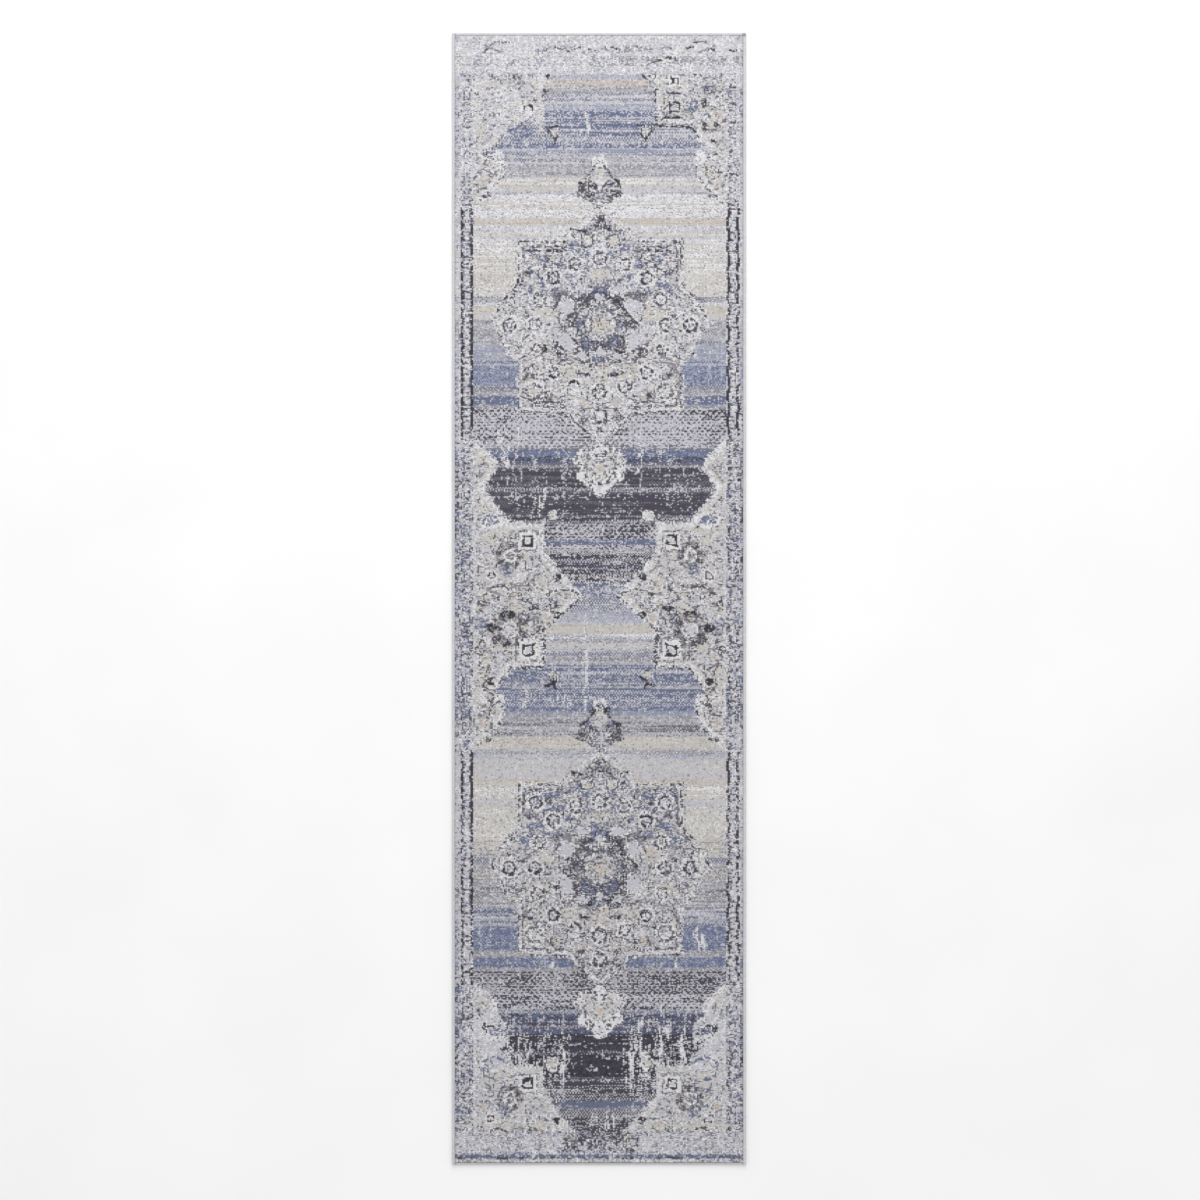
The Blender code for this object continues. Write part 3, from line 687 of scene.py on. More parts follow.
def paint_medallion(paper):
    """The stepped medallion: a worn pale body in broken outlines, full of flowers and blue."""
    body = paper.inside(MEDALLION_OUTLINE)
    rim = paper.distance(MEDALLION_OUTLINE)
    paper.lay(rim < 7, IVORY, 0.28)
    paper.lay((rim > 4) & (rim < 8), CHARCOAL, 0.16)
    inner = body & (rim > 7)
    lower = inner & (paper.y < 0)
    heart = np.hypot(paper.u, paper.v) < 88
    for scroll in (
        (inner, 21, 0.04, STONE, 0.8), (inner, 15, 0.045, CHARCOAL, 0.7),
        (inner, 10, 0.05, CHARCOAL, 0.45), (lower, 13, 0.07, INK, 0.45),
        (inner & heart, 13, 0.09, CHARCOAL, 0.6), (lower & heart, 17, 0.1, INK, 0.6),
        (inner & (paper.v > 60), 18, 0.06, SLATE, 0.5),
    ):
        paper.scrolls(*scroll)
    paper.lay(inner, CHARCOAL, 0.06, "tuft")
    paper.lay(inner, IVORY, 0.1, "tuft")
    paper.lay(lower, SMOKE, 0.12, "tuft")
    paper.lay(lower, STONE, 0.1)
    paper.blooms(MEDALLION)
    paper.blooms(HEART)


def paint_spandrels(paper, field):
    """The corner pieces: a carved ivory band along the field, linework and flowers."""
    rim = paper.distance(FIELD_OUTLINE)
    inner = paper.u < FIELD_HALF_WIDTH - 5
    outside = inner & ~field
    paper.lay(outside & (rim < 11), IVORY, 0.5)
    paper.lay(outside & (rim < 11), STONE, 0.07)
    paper.lay(inner & field & (rim < 4), IVORY, 0.5)
    paper.lay(outside & (np.abs(rim - 13) < 2.5), SAND, 0.6)
    paper.lay(outside & (np.abs(rim - 17) < 2), STONE, 0.45)
    upper = paper.v > 240
    paper.lay(inner & (rim < 3) & upper, INK, 0.34 + 0.2 * (paper.v > 400))
    paper.lay(inner & (rim < 4) & ~upper, CHARCOAL, 0.12)
    region = outside & (rim > 15) & (np.abs(paper.v) > 250)
    for scroll in (
        (region, 22, 0.04, STONE, 0.7), (region, 16, 0.05, CHARCOAL, 0.6),
        (region, 27, 0.06, SAND, 0.9), (region, 11, 0.05, INK, 0.36),
        (region & (paper.y < 0), 19, 0.04, SLATE, 0.45),
    ):
        paper.scrolls(*scroll)
    paper.lay(region, CHARCOAL, 0.06, "tuft")
    paper.lay(region, IVORY, 0.1, "tuft")


def paint_border(paper):
    """Two broken dark lines with a row of small boxes between, and a striped outer strip."""
    beside_medallion = np.abs(paper.v) < 238
    heavy = np.where(beside_medallion, 0.98, 0.3) + 0.6 * (paper.wear("patch") - 0.5)
    heavy = heavy * np.clip((1150 - paper.y) / 400, 0.4, 1) * (0.6 + 0.7 * paper.wear("line"))
    band = paper.u > FIELD_HALF_WIDTH
    outer = paper.u > BORDER_LINES[1] + 5
    paper.lay((band & ~outer) * 2.0, PEARL)
    paper.lay(band & ~outer, IVORY, 0.5)
    paper.lay(band & ~outer, SILVER, 0.3, "tuft")
    paper.lay(outer, PEARL, 0.45)
    wave = 1.6 * np.sin(paper.y / 8.0) * np.where(paper.x > 0, 1, 0.4)
    for line, share in zip(BORDER_LINES, (1.0, 0.9)):
        strength = np.clip((2.9 - np.abs(paper.u - line + wave)) / SOFT + 0.5, 0, 1)
        paper.lay(strength * heavy * share, INK)
    middle = sum(BORDER_LINES) / 2
    step = (paper.v % 24) - 12
    box = np.maximum(np.abs(paper.u - middle), np.abs(step) * 0.7)
    paper.lay((box < 7) & (box > 3.5), CHARCOAL, 0.42)
    loose = (band & ~beside_medallion) * np.clip((900 - paper.y) / 300, 0.3, 1)
    paper.lay(loose * (paper.wear("worn") > 0.5), CHARCOAL, 0.3)
    paper.lay(loose * (paper.wear("worn") > 0.6), SLATE, 0.25)
    paper.lay(band & (paper.wear("worn") > 0.7), SLATE, 0.15)


def paint_ends(paper):
    """The pale ends: a broken zigzag at the top, a dashed blue line at the bottom."""
    down, up = paper.y.max() - paper.y, paper.y - paper.y.min()
    end = (down < 78) | (up < 62)
    clean = np.clip((78 - down) / 5, 0, 1) + np.clip((24 - up) / 5, 0, 1)
    clean = clean + 0.7 * np.clip((62 - up) / 10, 0, 1) * (paper.u > 70)
    paper.lay(clean * 1.5, PEARL)
    paper.lay(end * clean, IVORY, 0.6)
    paper.lay(end * clean, SAND, 0.14)
    paper.lay(end * clean, SILVER, 0.2, "tuft")
    zigzag = 22 + 9 * np.abs((paper.x / 28 + 0.2) % 2 - 1)
    stroke = np.clip((2.2 - np.abs(down - zigzag)) / SOFT + 0.5, 0, 1)
    stitches = (paper.x < 105) * (0.45 + 0.55 * (paper.col % 2))
    ticks = stitches + (paper.x > 105) * (paper.x % 44 < 17) * 1.3
    paper.lay(stroke * ticks * (paper.x > -125), INK, 0.62)
    paper.lay((down > 18) & (down < 34) & (paper.x > -125) & (paper.x < 110), SMOKE, 0.16)
    paper.lay((down > 40) & (down < 60), STONE, 0.2)
    paper.lay((down > 40) & (down < 60) & (paper.x > -20), SMOKE, 0.16)
    paper.lay((down < 78) & (paper.wear("worn") > 0.75), SKY, 0.2)
    paper.lay(down < 78, SMOKE, 0.03)
    bottom = up < 62
    paper.lay(bottom & (paper.wear("worn") > 0.4), SLATE, 0.16)
    paper.lay(bottom, CHARCOAL, 0.1)
    paper.lay(bottom, STONE, 0.12)
    paper.lay((np.abs(up - 17) < 4) & (paper.col % 2 == 0), SLATE, 0.4)
    paper.lay((np.abs(up - 11) < 3.2), SLATE, 0.8)
    paper.lay((np.abs(up - 8) < 2.6) & (paper.wear("worn") > 0.62), CHARCOAL, 0.9)
    paper.lay((np.abs(up - 34) < 16) & (paper.u < 80), CHARCOAL, 0.4)
    paper.lay((np.abs(up - 74) < 3) & (paper.u > 100), SAND, 0.7)


def weave_card(width, length, reed_pitch, shot_pitch, seed):
    """Paint the whole point paper and return it.

    The linework is fainter in the worn corners, the left-hand top one most, and the top ones
    get loose dark flecks instead.
    """
    paper = PointPaper(width / MM, length / MM, reed_pitch / MM, shot_pitch / MM, seed)
    field = paper.inside(FIELD_OUTLINE)
    paint_stripes(paper)
    paint_stripe_wear(paper)
    stripes = paper.yarn.copy()
    outside = paint_grounds(paper, field)
    strip = outside & (paper.u > BORDER_LINES[1] + 5)
    worn_top = np.clip((paper.y - 900) / 60, 0, 1) * np.where(paper.x < 0, 0.8, 0.5)
    worn_foot = np.clip((-850 - paper.y) / 80, 0, 1) * 0.35
    paper.fresh = 1 - worn_top - worn_foot
    paint_spandrels(paper, field)
    paper.fresh = np.ones(paper.shape)
    top_corners = outside & (paper.y > 860)
    paper.lay(top_corners & (paper.wear("worn") > 0.4), INK, 0.13)
    paper.lay(top_corners & (paper.wear("worn") > 0.6), SLATE, 0.16)
    paper.blooms(SPANDREL)
    paint_medallion(paper)
    paper.blooms(PENDANTS)
    paper.blooms(BUDS)
    paper.yarn[strip] = stripes[strip]
    paint_border(paper)
    paint_ends(paper)
    paper.lines(LINES)
    return paper


# ---------------------------------------------------------------------------------------------
# Shapes. Lengths from here on are in metres.
# ---------------------------------------------------------------------------------------------

# How the rug lies: how soon the corners come down to the floor, and the ripple of its edges
CORNER_FADE = 0.09
RIPPLE = 0.00025
RIPPLE_LENGTH = 0.052

# The pile: how far its rim is shorn down, how far tufts stray sideways, and how their heights
# differ from one to the next and where the rug is walked on
PILE_SECTIONS = 6
EDGE_ROUND = 0.0012
CENTRE_JITTER = 0.0002
COLUMN_DRIFT = 0.0003
HEIGHT_NOISE = 0.00010
TRODDEN_DEPTH = 0.0004

# How the colour of a yarn differs: in lightness, in hue, and in streaks along the rug
SHADE_NOISE = 0.075
TINT_NOISE = 0.010
HEATHER = 0.06

# How far each yarn stands below the ivory, as a share of the carved depth
YARN_DEPTHS = (0.0, 0.15, 0.25, 0.35, 0.45, 0.6, 0.75, 0.6, 0.85, 1.0, 1.0)

# How much of a tuft's colour comes from the fibres of its four neighbours
TINT_MINGLING = 0.45
DEPTH_MINGLING = 0.12

# The overcast bands: the section's wall, roundness and points, the slant and the unevenness of
# the yarn's turns, how far from an end the hollow closes, the end rounds off and the slant
# fades, and how many strips a band is cut into for baking
BAND_WALL = 0.0011
BAND_POWER = 2.6
BAND_ROUND_POINTS = 9
BAND_INNER_POINTS = 6
SAMPLES_PER_TURN = 4
TURN_SLANT = 0.0016
TURN_NOISE = 0.00012
HOLLOW_CLOSES = 0.0022
END_ROUND = 0.0016
SLANT_FADES = 0.006
BAND_STRIPS = 16

# The selvedge cords: three plies, one full twist every 11 mm
CORD_PLIES = 3
CORD_POINTS = 12
CORD_TWIST = 0.011
CORD_STEPS_PER_TWIST = 8

# The cloth and the size coat are drawn on grids coarser than their threads, to stay light
GROUND_GRID = (104, 400)
GROUND_RELIEF = 0.00012
LATEX_GRID = (40, 1150)
LATEX_RIB = 0.00018
LATEX_UNEVEN = 0.00012


def lie(x, y):
    """How far the rug stands off the floor at a point.

    The corners rise with the fourth power of the distance from the middle line and die away
    over 90 mm from each end, and the long edges ripple by a fraction of a millimetre.
    """
    out = np.abs(x) / (RUG_WIDTH / 2)
    corner = bpy.context.scene.rug_sizes.corner_lift * out**4
    corner = corner * np.exp((np.abs(y) - RUG_LENGTH / 2) / CORNER_FADE)
    wave = np.sin(y / RIPPLE_LENGTH + np.where(x > 0, 1.3, 0.2))
    ripple = RIPPLE * out**3 * (1 + wave)
    return corner + ripple


def lay_down(points):
    """The points, raised by how the rug lies there."""
    points = points.copy()
    points[..., 2] += lie(points[..., 0], points[..., 1])
    return points


def grid_quads(rows, columns, first=0, closed=False):
    """The quads of a grid of points numbered row by row, closed round if the columns meet."""
    number = first + np.arange(rows * columns).reshape(rows, columns)
    if closed:
        number = np.concatenate([number, number[:, :1]], axis=1)
    corners = number[:-1, :-1], number[:-1, 1:], number[1:, 1:], number[1:, :-1]
    return np.stack(corners, axis=-1).reshape(-1, 4)


def add_piece(name, points, polygons, material):
    """An object from an array of points and a list of arrays of polygons, one for each size."""
    mesh = bpy.data.meshes.new(name)
    sizes = np.concatenate([np.full(len(p), p.shape[1]) for p in polygons])
    starts = np.concatenate([[0], np.cumsum(sizes)[:-1]])
    mesh.vertices.add(len(points))
    mesh.vertices.foreach_set("co", points.astype(np.float32).ravel())
    mesh.loops.add(int(sizes.sum()))
    corners = np.concatenate([p.ravel() for p in polygons])
    mesh.loops.foreach_set("vertex_index", corners.astype(np.int32))
    mesh.polygons.add(len(sizes))
    mesh.polygons.foreach_set("loop_start", starts.astype(np.int32))
    mesh.update(calc_edges=True)
    mesh.shade_smooth()
    mesh.materials.append(material)
    piece = bpy.data.objects.new(name, mesh)
    bpy.context.scene.collection.objects.link(piece)
    return piece


def add_uv(piece, name, corners):
    """A UV map on a piece, from an array of one (u, v) for each face corner."""
    layer = piece.data.uv_layers.new(name=name, do_init=False)
    layer.uv.foreach_set("vector", corners.astype(np.float32).ravel())


def hand_over(piece, slot, *nodes):
    """Hang a piece on the rug's body and hide the CAD nodes it stands for. The slot is not used.
    """
    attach(piece, BODY)
    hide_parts(*nodes)


def slab(across, up, bottom, top):
    """A closed slab on a grid: points and quads from its bottom and top heights.

    Both skins are the grid at their own height, and a wall joins their outer rings.
    """
    x, y = np.meshgrid(across, up)
    rows, columns = x.shape
    skins = [np.stack([x, y, z], axis=-1).reshape(-1, 3) for z in (bottom, top)]
    under = grid_quads(rows, columns)[:, ::-1]
    over = grid_quads(rows, columns, rows * columns)
    number = np.arange(rows * columns).reshape(rows, columns)
    sides = number[0, :-1], number[:-1, -1], number[-1, :0:-1], number[:0:-1, 0]
    ring = np.concatenate(sides)
    after = np.roll(ring, -1)
    wall = np.stack([ring, after, after + rows * columns, ring + rows * columns], axis=-1)
    return np.concatenate(skins), [np.concatenate([under, over, wall])]


class PileSurface:
    """The whole pile's heights and colours, from which its sections are cut."""

    def __init__(self, sizes, yarns):
        low, high = PILE_BOX
        width, length = high[0] - low[0], high[1] - low[1]
        self.paper = weave_card(
            width, length, sizes.reed_pitch, sizes.shot_pitch, sizes.wear_seed
        )
        self.bottom, top = low[2], high[2]
        rows, columns = self.paper.shape
        rng = np.random.default_rng(sizes.wear_seed + 1)
        yarn = self.paper.yarn

        depth = np.array(YARN_DEPTHS)[yarn] * sizes.carved_depth
        worn = smooth_noise(self.paper.shape, (40, 24), rng) * TRODDEN_DEPTH
        self.height = top - depth - worn - HEIGHT_NOISE * rng.random(yarn.shape)
        self.column_edges = np.linspace(low[0], high[0], columns + 1)
        self.row_edges = np.linspace(low[1], high[1], rows + 1)
        drift = smooth_noise((rows + 1, columns + 1), (30, 8), rng) - 0.5
        drift[:, [0, -1]] = 0
        self.corner_x = self.column_edges[None, :] + drift * 2 * COLUMN_DRIFT
        padded = np.pad(self.height, 1, mode="edge")
        around = padded[:-1, :-1] + padded[:-1, 1:] + padded[1:, :-1] + padded[1:, 1:]
        self.corner_z = around / 4 - sizes.furrow_depth
        rim = EDGE_ROUND - sizes.furrow_depth
        self.corner_z[[0, -1], :] -= rim
        self.corner_z[1:-1, [0, -1]] -= rim

        palette = np.array([list(getattr(yarns, name)) for name in YARNS])
        shade = rng.normal(1.0, SHADE_NOISE, yarn.shape)
        heather = smooth_noise(self.paper.shape, (9, 2.5), rng) - 0.5
        tint = rng.normal(0.0, TINT_NOISE, (rows, columns, 3))
        light = (shade + HEATHER * heather)[..., None] + tint
        own = palette[yarn] * light
        around = np.pad(own, ((1, 1), (1, 1), (0, 0)), mode="edge")
        beside = around[:-2, 1:-1] + around[2:, 1:-1] + around[1:-1, :-2] + around[1:-1, 2:]
        mixed = own + TINT_MINGLING * (beside / 4 - own)
        depth = (own + DEPTH_MINGLING * (beside / 4 - own)).mean(axis=-1, keepdims=True)
        self.colour = np.clip(mixed * depth / mixed.mean(axis=-1, keepdims=True), 0, 1)


def pile_section(surface, name, first, last, material):
    """Cut one closed section of the pile, from row first to row last.

    Each tuft is four triangles that rise from its corners to its centre. The walls drop
    straight from the rim, and the underside is one strip of quads.
    """
    rows, columns = last - first, surface.paper.columns
    corner_y = np.broadcast_to(surface.row_edges[first : last + 1, None], (rows + 1, columns + 1))
    corner_x = surface.corner_x[first : last + 1]
    corners = np.stack([corner_x, corner_y, surface.corner_z[first : last + 1]], axis=-1)

    rng = np.random.default_rng(first)
    middle = (corners[:-1, :-1] + corners[1:, 1:]) / 2
    middle[..., :2] += rng.uniform(-CENTRE_JITTER, CENTRE_JITTER, (rows, columns, 2))
    middle[..., 2] = surface.height[first:last]

    west = np.stack([corners[:, 0, 0], corners[:, 0, 1], np.full(rows + 1, surface.bottom)], -1)
    east = np.stack([corners[:, -1, 0], corners[:, -1, 1], np.full(rows + 1, surface.bottom)], -1)
    points = np.concatenate([a.reshape(-1, 3) for a in (corners, middle, west, east)])

    number = np.arange((rows + 1) * (columns + 1)).reshape(rows + 1, columns + 1)
    centre = number.size + np.arange(rows * columns).reshape(rows, columns)
    west_foot = number.size + centre.size + np.arange(rows + 1)
    east_foot = west_foot + rows + 1
    sw, se, ne, nw = number[:-1, :-1], number[:-1, 1:], number[1:, 1:], number[1:, :-1]
    sides = ((sw, se), (se, ne), (ne, nw), (nw, sw))
    tufts = np.stack([np.stack([a, b, centre], axis=-1) for a, b in sides], axis=2)
    tufts = tufts.reshape(-1, 3)
    wall_west = np.stack([west_foot[:-1], number[:-1, 0], number[1:, 0], west_foot[1:]], -1)
    wall_east = np.stack([east_foot[1:], number[1:, -1], number[:-1, -1], east_foot[:-1]], -1)
    under = np.stack([west_foot[:-1], west_foot[1:], east_foot[1:], east_foot[:-1]], -1)
    south = np.concatenate([[west_foot[0], east_foot[0]], number[0, ::-1]])[None]
    north = np.concatenate([[east_foot[-1], west_foot[-1]], number[-1, :]])[None]
    quads = np.concatenate([wall_west, wall_east, under])
    piece = add_piece(name, lay_down(points), [tufts, quads, south, north], material)

    # The tufts' own map counts columns and rows, so that one tuft is one unit square
    col, row = np.meshgrid(np.arange(columns), np.arange(rows))
    ends = ((0, 0), (1, 0), (1, 1), (0, 1))
    place = np.stack([col, row], axis=-1).astype(float)
    parts = []
    for start, end in zip(ends, ends[1:] + ends[:1]):
        parts.append(np.stack([place + start, place + end, place + 0.5], axis=2))
    top = np.stack(parts, axis=2).reshape(-1, 2)
    rest = len(quads) * 4 + south.size + north.size
    add_uv(piece, "tufts", np.concatenate([top, np.full((rest, 2), 0.5)]))

    # A second map for baking: the face fills the square, and the walls lie in its margins
    span = np.array([columns, rows], dtype=float)
    low, high = np.array([0.03, 0.02]), np.array([0.97, 0.98])
    face = low + top / span * (high - low)
    along = np.linspace(low[1], high[1], rows + 1)
    margins = []
    for left, right in ((0.002, 0.008), (0.992, 0.998), (0.012, 0.024)):
        ring = ((left, 0), (right, 0), (right, 1), (left, 1))
        strip = [np.stack([np.full(rows, u), along[k : rows + k]], -1) for u, k in ring]
        margins.append(np.stack(strip, axis=1).reshape(-1, 2))
    across = np.linspace(low[0], high[0], columns + 1)
    south_feet = [[low[0], 0.004], [high[0], 0.004]]
    south_rim = np.stack([across[::-1], np.full(columns + 1, 0.012)], -1)
    north_feet = [[high[0], 0.996], [low[0], 0.996]]
    north_rim = np.stack([across, np.full(columns + 1, 0.988)], -1)
    walls = [*margins, south_feet, south_rim, north_feet, north_rim]
    add_uv(piece, "OFBake", np.concatenate([face, *walls]))

    yarn = piece.data.color_attributes.new("yarn_colour", "FLOAT_COLOR", "CORNER")
    colour = np.ones((len(piece.data.loops), 4), dtype=np.float32)
    tuft_colour = surface.colour[first:last].reshape(-1, 3)
    colour[: len(tufts) * 3, :3] = np.repeat(tuft_colour, 12, axis=0)
    colour[len(tufts) * 3 :, :3] = tuft_colour.mean(axis=0)
    yarn.data.foreach_set("color", colour.ravel())
    return piece


def band_section(width, height, wall):
    """The band's section as (x, z) points, outer round first, then the inner one backwards.

    The outer line is half of a superellipse of power BAND_POWER about the band's middle
    height, with a lip at each end that runs to x = -width. The inner line is the same, one
    wall smaller.
    """
    reach = height / 2

    def half(shrink, count):
        angle = np.linspace(-math.pi / 2, math.pi / 2, count)
        x = np.abs(np.cos(angle)) ** (2 / BAND_POWER) * (reach - shrink) - reach
        rise = np.sin(angle)
        z = np.sign(rise) * np.abs(rise) ** (2 / BAND_POWER) * (reach - shrink)
        return np.stack([x, z + height / 2], axis=-1)

    lip = -(width + reach) / 2
    lower, upper = [[-width, 0.0], [lip, 0.0]], [[lip, height], [-width, height]]
    outer = np.concatenate([lower, half(0.0, BAND_ROUND_POINTS), upper])
    inner = half(wall, BAND_INNER_POINTS - 2)[::-1]
    inner = np.concatenate([[[-width, height - wall]], inner, [[-width, wall]]])
    return outer, inner


def overcast_band(name, width, height, length, turn, edge, material, seed):
    """A band of overcast yarn, drawn along one edge of the rug.

    The section is carried along the edge. Each turn of yarn swells it by the height of a half
    circle across the turn, every turn a little differently, and slants by moving the
    section's points along the edge. The hollow closes over the last few millimetres.
    """
    sizes = bpy.context.scene.rug_sizes
    rng = np.random.default_rng(seed)
    outer, inner = band_section(width, height, BAND_WALL)
    turns = int(round(length / sizes.wrap_pitch))
    steps = turns * SAMPLES_PER_TURN
    along = np.linspace(-length / 2, length / 2, steps + 1)
    to_end = length / 2 - np.abs(along)
    phase = np.arange(steps + 1) % SAMPLES_PER_TURN / SAMPLES_PER_TURN
    which = np.minimum(np.arange(steps + 1) // SAMPLES_PER_TURN, turns - 1)
    swell = np.sqrt(1 - (2 * phase - 1) ** 2)
    sink = sizes.wrap_depth * (1 - swell) + rng.uniform(0, TURN_NOISE, turns)[which] * swell

    centre = np.array([-width * 0.5, height / 2])
    outward = outer - centre
    outward /= np.linalg.norm(outward, axis=1, keepdims=True)
    skin = outer[None] - outward[None] * sink[:, None, None]
    lips = [0, 1, -2, -1]
    skin[:, lips, 0] += (rng.uniform(-0.0001, 0.0004, turns)[which] * swell)[:, None]
    close = np.clip(1 - to_end / HOLLOW_CLOSES, 0, 1)[:, None]
    hollow = np.repeat(inner[None], steps + 1, axis=0)
    side = np.sign(inner[:, 1] - height / 2) * 0.00004
    hollow[..., 1] += (height / 2 + side - hollow[..., 1]) * close
    soft = 1 - 0.22 * np.clip(1 - to_end / END_ROUND, 0, 1)[:, None] ** 2
    ring = np.concatenate([skin, hollow], axis=1)
    ring[..., 1] = (ring[..., 1] - height / 2) * soft + height / 2
    ring[..., 0] = (ring[..., 0] + width) * soft - width

    around = np.linspace(-0.5, 0.5, len(outer))
    slant = np.concatenate([around, np.linspace(0.5, -0.5, len(inner))]) * TURN_SLANT
    taper = np.clip(to_end / SLANT_FADES, 0, 1)[:, None]
    y = along[:, None] + slant[None] * taper
    c, s = math.cos(turn), math.sin(turn)
    x = edge + ring[..., 0]
    points = np.stack([x * c - y * s, x * s + y * c, ring[..., 1]], axis=-1)
    count = points.shape[1]
    skin_quads = grid_quads(steps + 1, count, closed=True)[:, ::-1]
    caps = np.arange(count)[None], (steps * count + np.arange(count)[::-1])[None]
    piece = add_piece(name, lay_down(points.reshape(-1, 3)), [skin_quads, *caps], material)

    # The yarn's own map: turns along the edge, and millimetres round the section
    closed_ring = np.concatenate([ring[0], ring[0, :1]])
    sides = np.linalg.norm(np.diff(closed_ring, axis=0), axis=1)
    girth = np.concatenate([[0], np.cumsum(sides)])
    step_at, round_at = np.meshgrid(np.arange(steps), np.arange(count), indexing="ij")
    ends = ((1, 0), (1, 1), (0, 1), (0, 0))
    turn_map = [[(step_at + a) / SAMPLES_PER_TURN, girth[round_at + b] / MM] for a, b in ends]
    wrap = np.moveaxis(np.array(turn_map), (0, 1), (2, 3)).reshape(-1, 2)
    cap_map = np.concatenate([np.zeros((count, 2)), np.full((count, 2), float(turns))])
    add_uv(piece, "wraps", np.concatenate([wrap, cap_map]))

    # A second map for baking: the band is cut into short strips, laid one above another
    strip_steps = -(-steps // BAND_STRIPS)
    strip = step_at // strip_steps
    share = 1 / BAND_STRIPS
    baked = []
    for a, b in ends:
        u = (step_at - strip * strip_steps + a) / strip_steps
        v = (strip + 0.04 + 0.92 * girth[round_at + b] / girth[-1]) * share
        baked.append([0.002 + 0.996 * u, v])
    baked = np.moveaxis(np.array(baked), (0, 1), (2, 3)).reshape(-1, 2)
    cap_baked = np.clip([0.985, 0.985] + ring[0] / 0.5, 0, 1)
    add_uv(piece, "OFBake", np.concatenate([baked, cap_baked, cap_baked]))
    return piece


def twisted_cord(name, centre, radius, length, material):
    """A laid cord: a round section with three plies, turned steadily along its length.

    The radius falls from its full value on a ply to four fifths between two plies.
    """
    steps = int(round(length / CORD_TWIST * CORD_STEPS_PER_TWIST))
    along = np.linspace(-length / 2, length / 2, steps + 1)
    base = np.arange(CORD_POINTS) / CORD_POINTS * 2 * math.pi
    ply = radius * (0.8 + 0.2 * np.abs(np.cos(CORD_PLIES / 2 * base)))
    angle = base[None] + along[:, None] / CORD_TWIST * 2 * math.pi
    x = centre[0] + ply * np.cos(angle)
    z = centre[2] - ply * np.sin(angle)
    y = np.broadcast_to(along[:, None], x.shape)
    points = np.stack([x, y, z], axis=-1)
    skin = grid_quads(steps + 1, CORD_POINTS, closed=True)
    first = np.arange(CORD_POINTS)[None]
    caps = first[:, ::-1], first + steps * CORD_POINTS
    return add_piece(name, lay_down(points.reshape(-1, 3)), [skin, *caps], material)


# ---------------------------------------------------------------------------------------------
# Finishes
# ---------------------------------------------------------------------------------------------


def add_node(tree, kind, inputs=(), out=0, **settings):
    """Add a shader node with its settings and its inputs, and return one of its outputs.

    The inputs go by place or by name, and each is a value or another node's output.
    """
    made = tree.nodes.new("ShaderNode" + kind)
    for name, value in settings.items():
        setattr(made, name, value)
    for name, value in inputs.items() if isinstance(inputs, dict) else enumerate(inputs):
        if isinstance(value, bpy.types.NodeSocket):
            tree.links.new(value, made.inputs[name])
        else:
            made.inputs[name].default_value = value
    return made.outputs[out]


def new_material(name, roughness, sheen):
    """A Principled material by name, with its node tree and its shader."""
    material = bpy.data.materials.new(name)
    material.use_nodes = True
    shader = material.node_tree.nodes["Principled BSDF"]
    shader.inputs["Roughness"].default_value = roughness
    shader.inputs["Sheen Weight"].default_value = sheen
    shader.inputs["Sheen Roughness"].default_value = 0.5
    shader.inputs["IOR"].default_value = 1.49
    shader.inputs["Specular IOR Level"].default_value = 0.25
    return material, material.node_tree, shader


def pile_material():
    """Heat-set polypropylene pile, cut low: matt fibre ends in the colour of each tuft's yarn.

    The fibre ends are 0.5 mm apart, painted shade darkens tufts towards the gaps between them,
    and the face is a little lighter or darker in patches some centimetres wide, where feet
    have worn it.
    """
    material, tree, shader = new_material("heat_set_polypropylene_pile", 0.95, 0.12)
    where = add_node(tree, "TexCoord", out="Object")
    fine = {"Vector": where, "Scale": 2000.0, "Detail": 2.0, "Roughness": 0.6}
    fibre = add_node(tree, "TexNoise", fine)
    patch = add_node(tree, "TexNoise", {"Vector": where, "Scale": 22.0, "Detail": 3.0})
    tuft = add_node(tree, "UVMap", uv_map="tufts")
    inside = add_node(tree, "VectorMath", [tuft], operation="FRACTION")
    middle = (0.5, 0.5, 0.0)
    offset = add_node(tree, "VectorMath", [inside, middle], out="Value", operation="DISTANCE")
    # Painted shade: each tuft darkens from its middle towards the gaps, down to 0.74
    gap = add_node(tree, "MapRange", [offset, 0.3, 0.68, 1.0, 0.74])
    ends = add_node(tree, "MapRange", [fibre, 0.3, 0.7, 0.88, 1.12])
    wear = add_node(tree, "MapRange", [patch, 0.3, 0.7, 0.975, 1.025])
    # The painted gap shade times the fibre ends' own tone, then times the worn patches
    grain = add_node(tree, "Math", [gap, ends], operation="MULTIPLY")
    shade = add_node(tree, "Math", [grain, wear], operation="MULTIPLY")
    yarn = add_node(tree, "Attribute", out="Color", attribute_name="yarn_colour")
    colour = add_node(tree, "VectorMath", {0: yarn, "Scale": shade}, operation="SCALE")
    tree.links.new(colour, shader.inputs["Base Color"])
    bump = add_node(tree, "Bump", {"Height": fibre, "Strength": 0.5, "Distance": 0.0003})
    tree.links.new(bump, shader.inputs["Normal"])
    return material


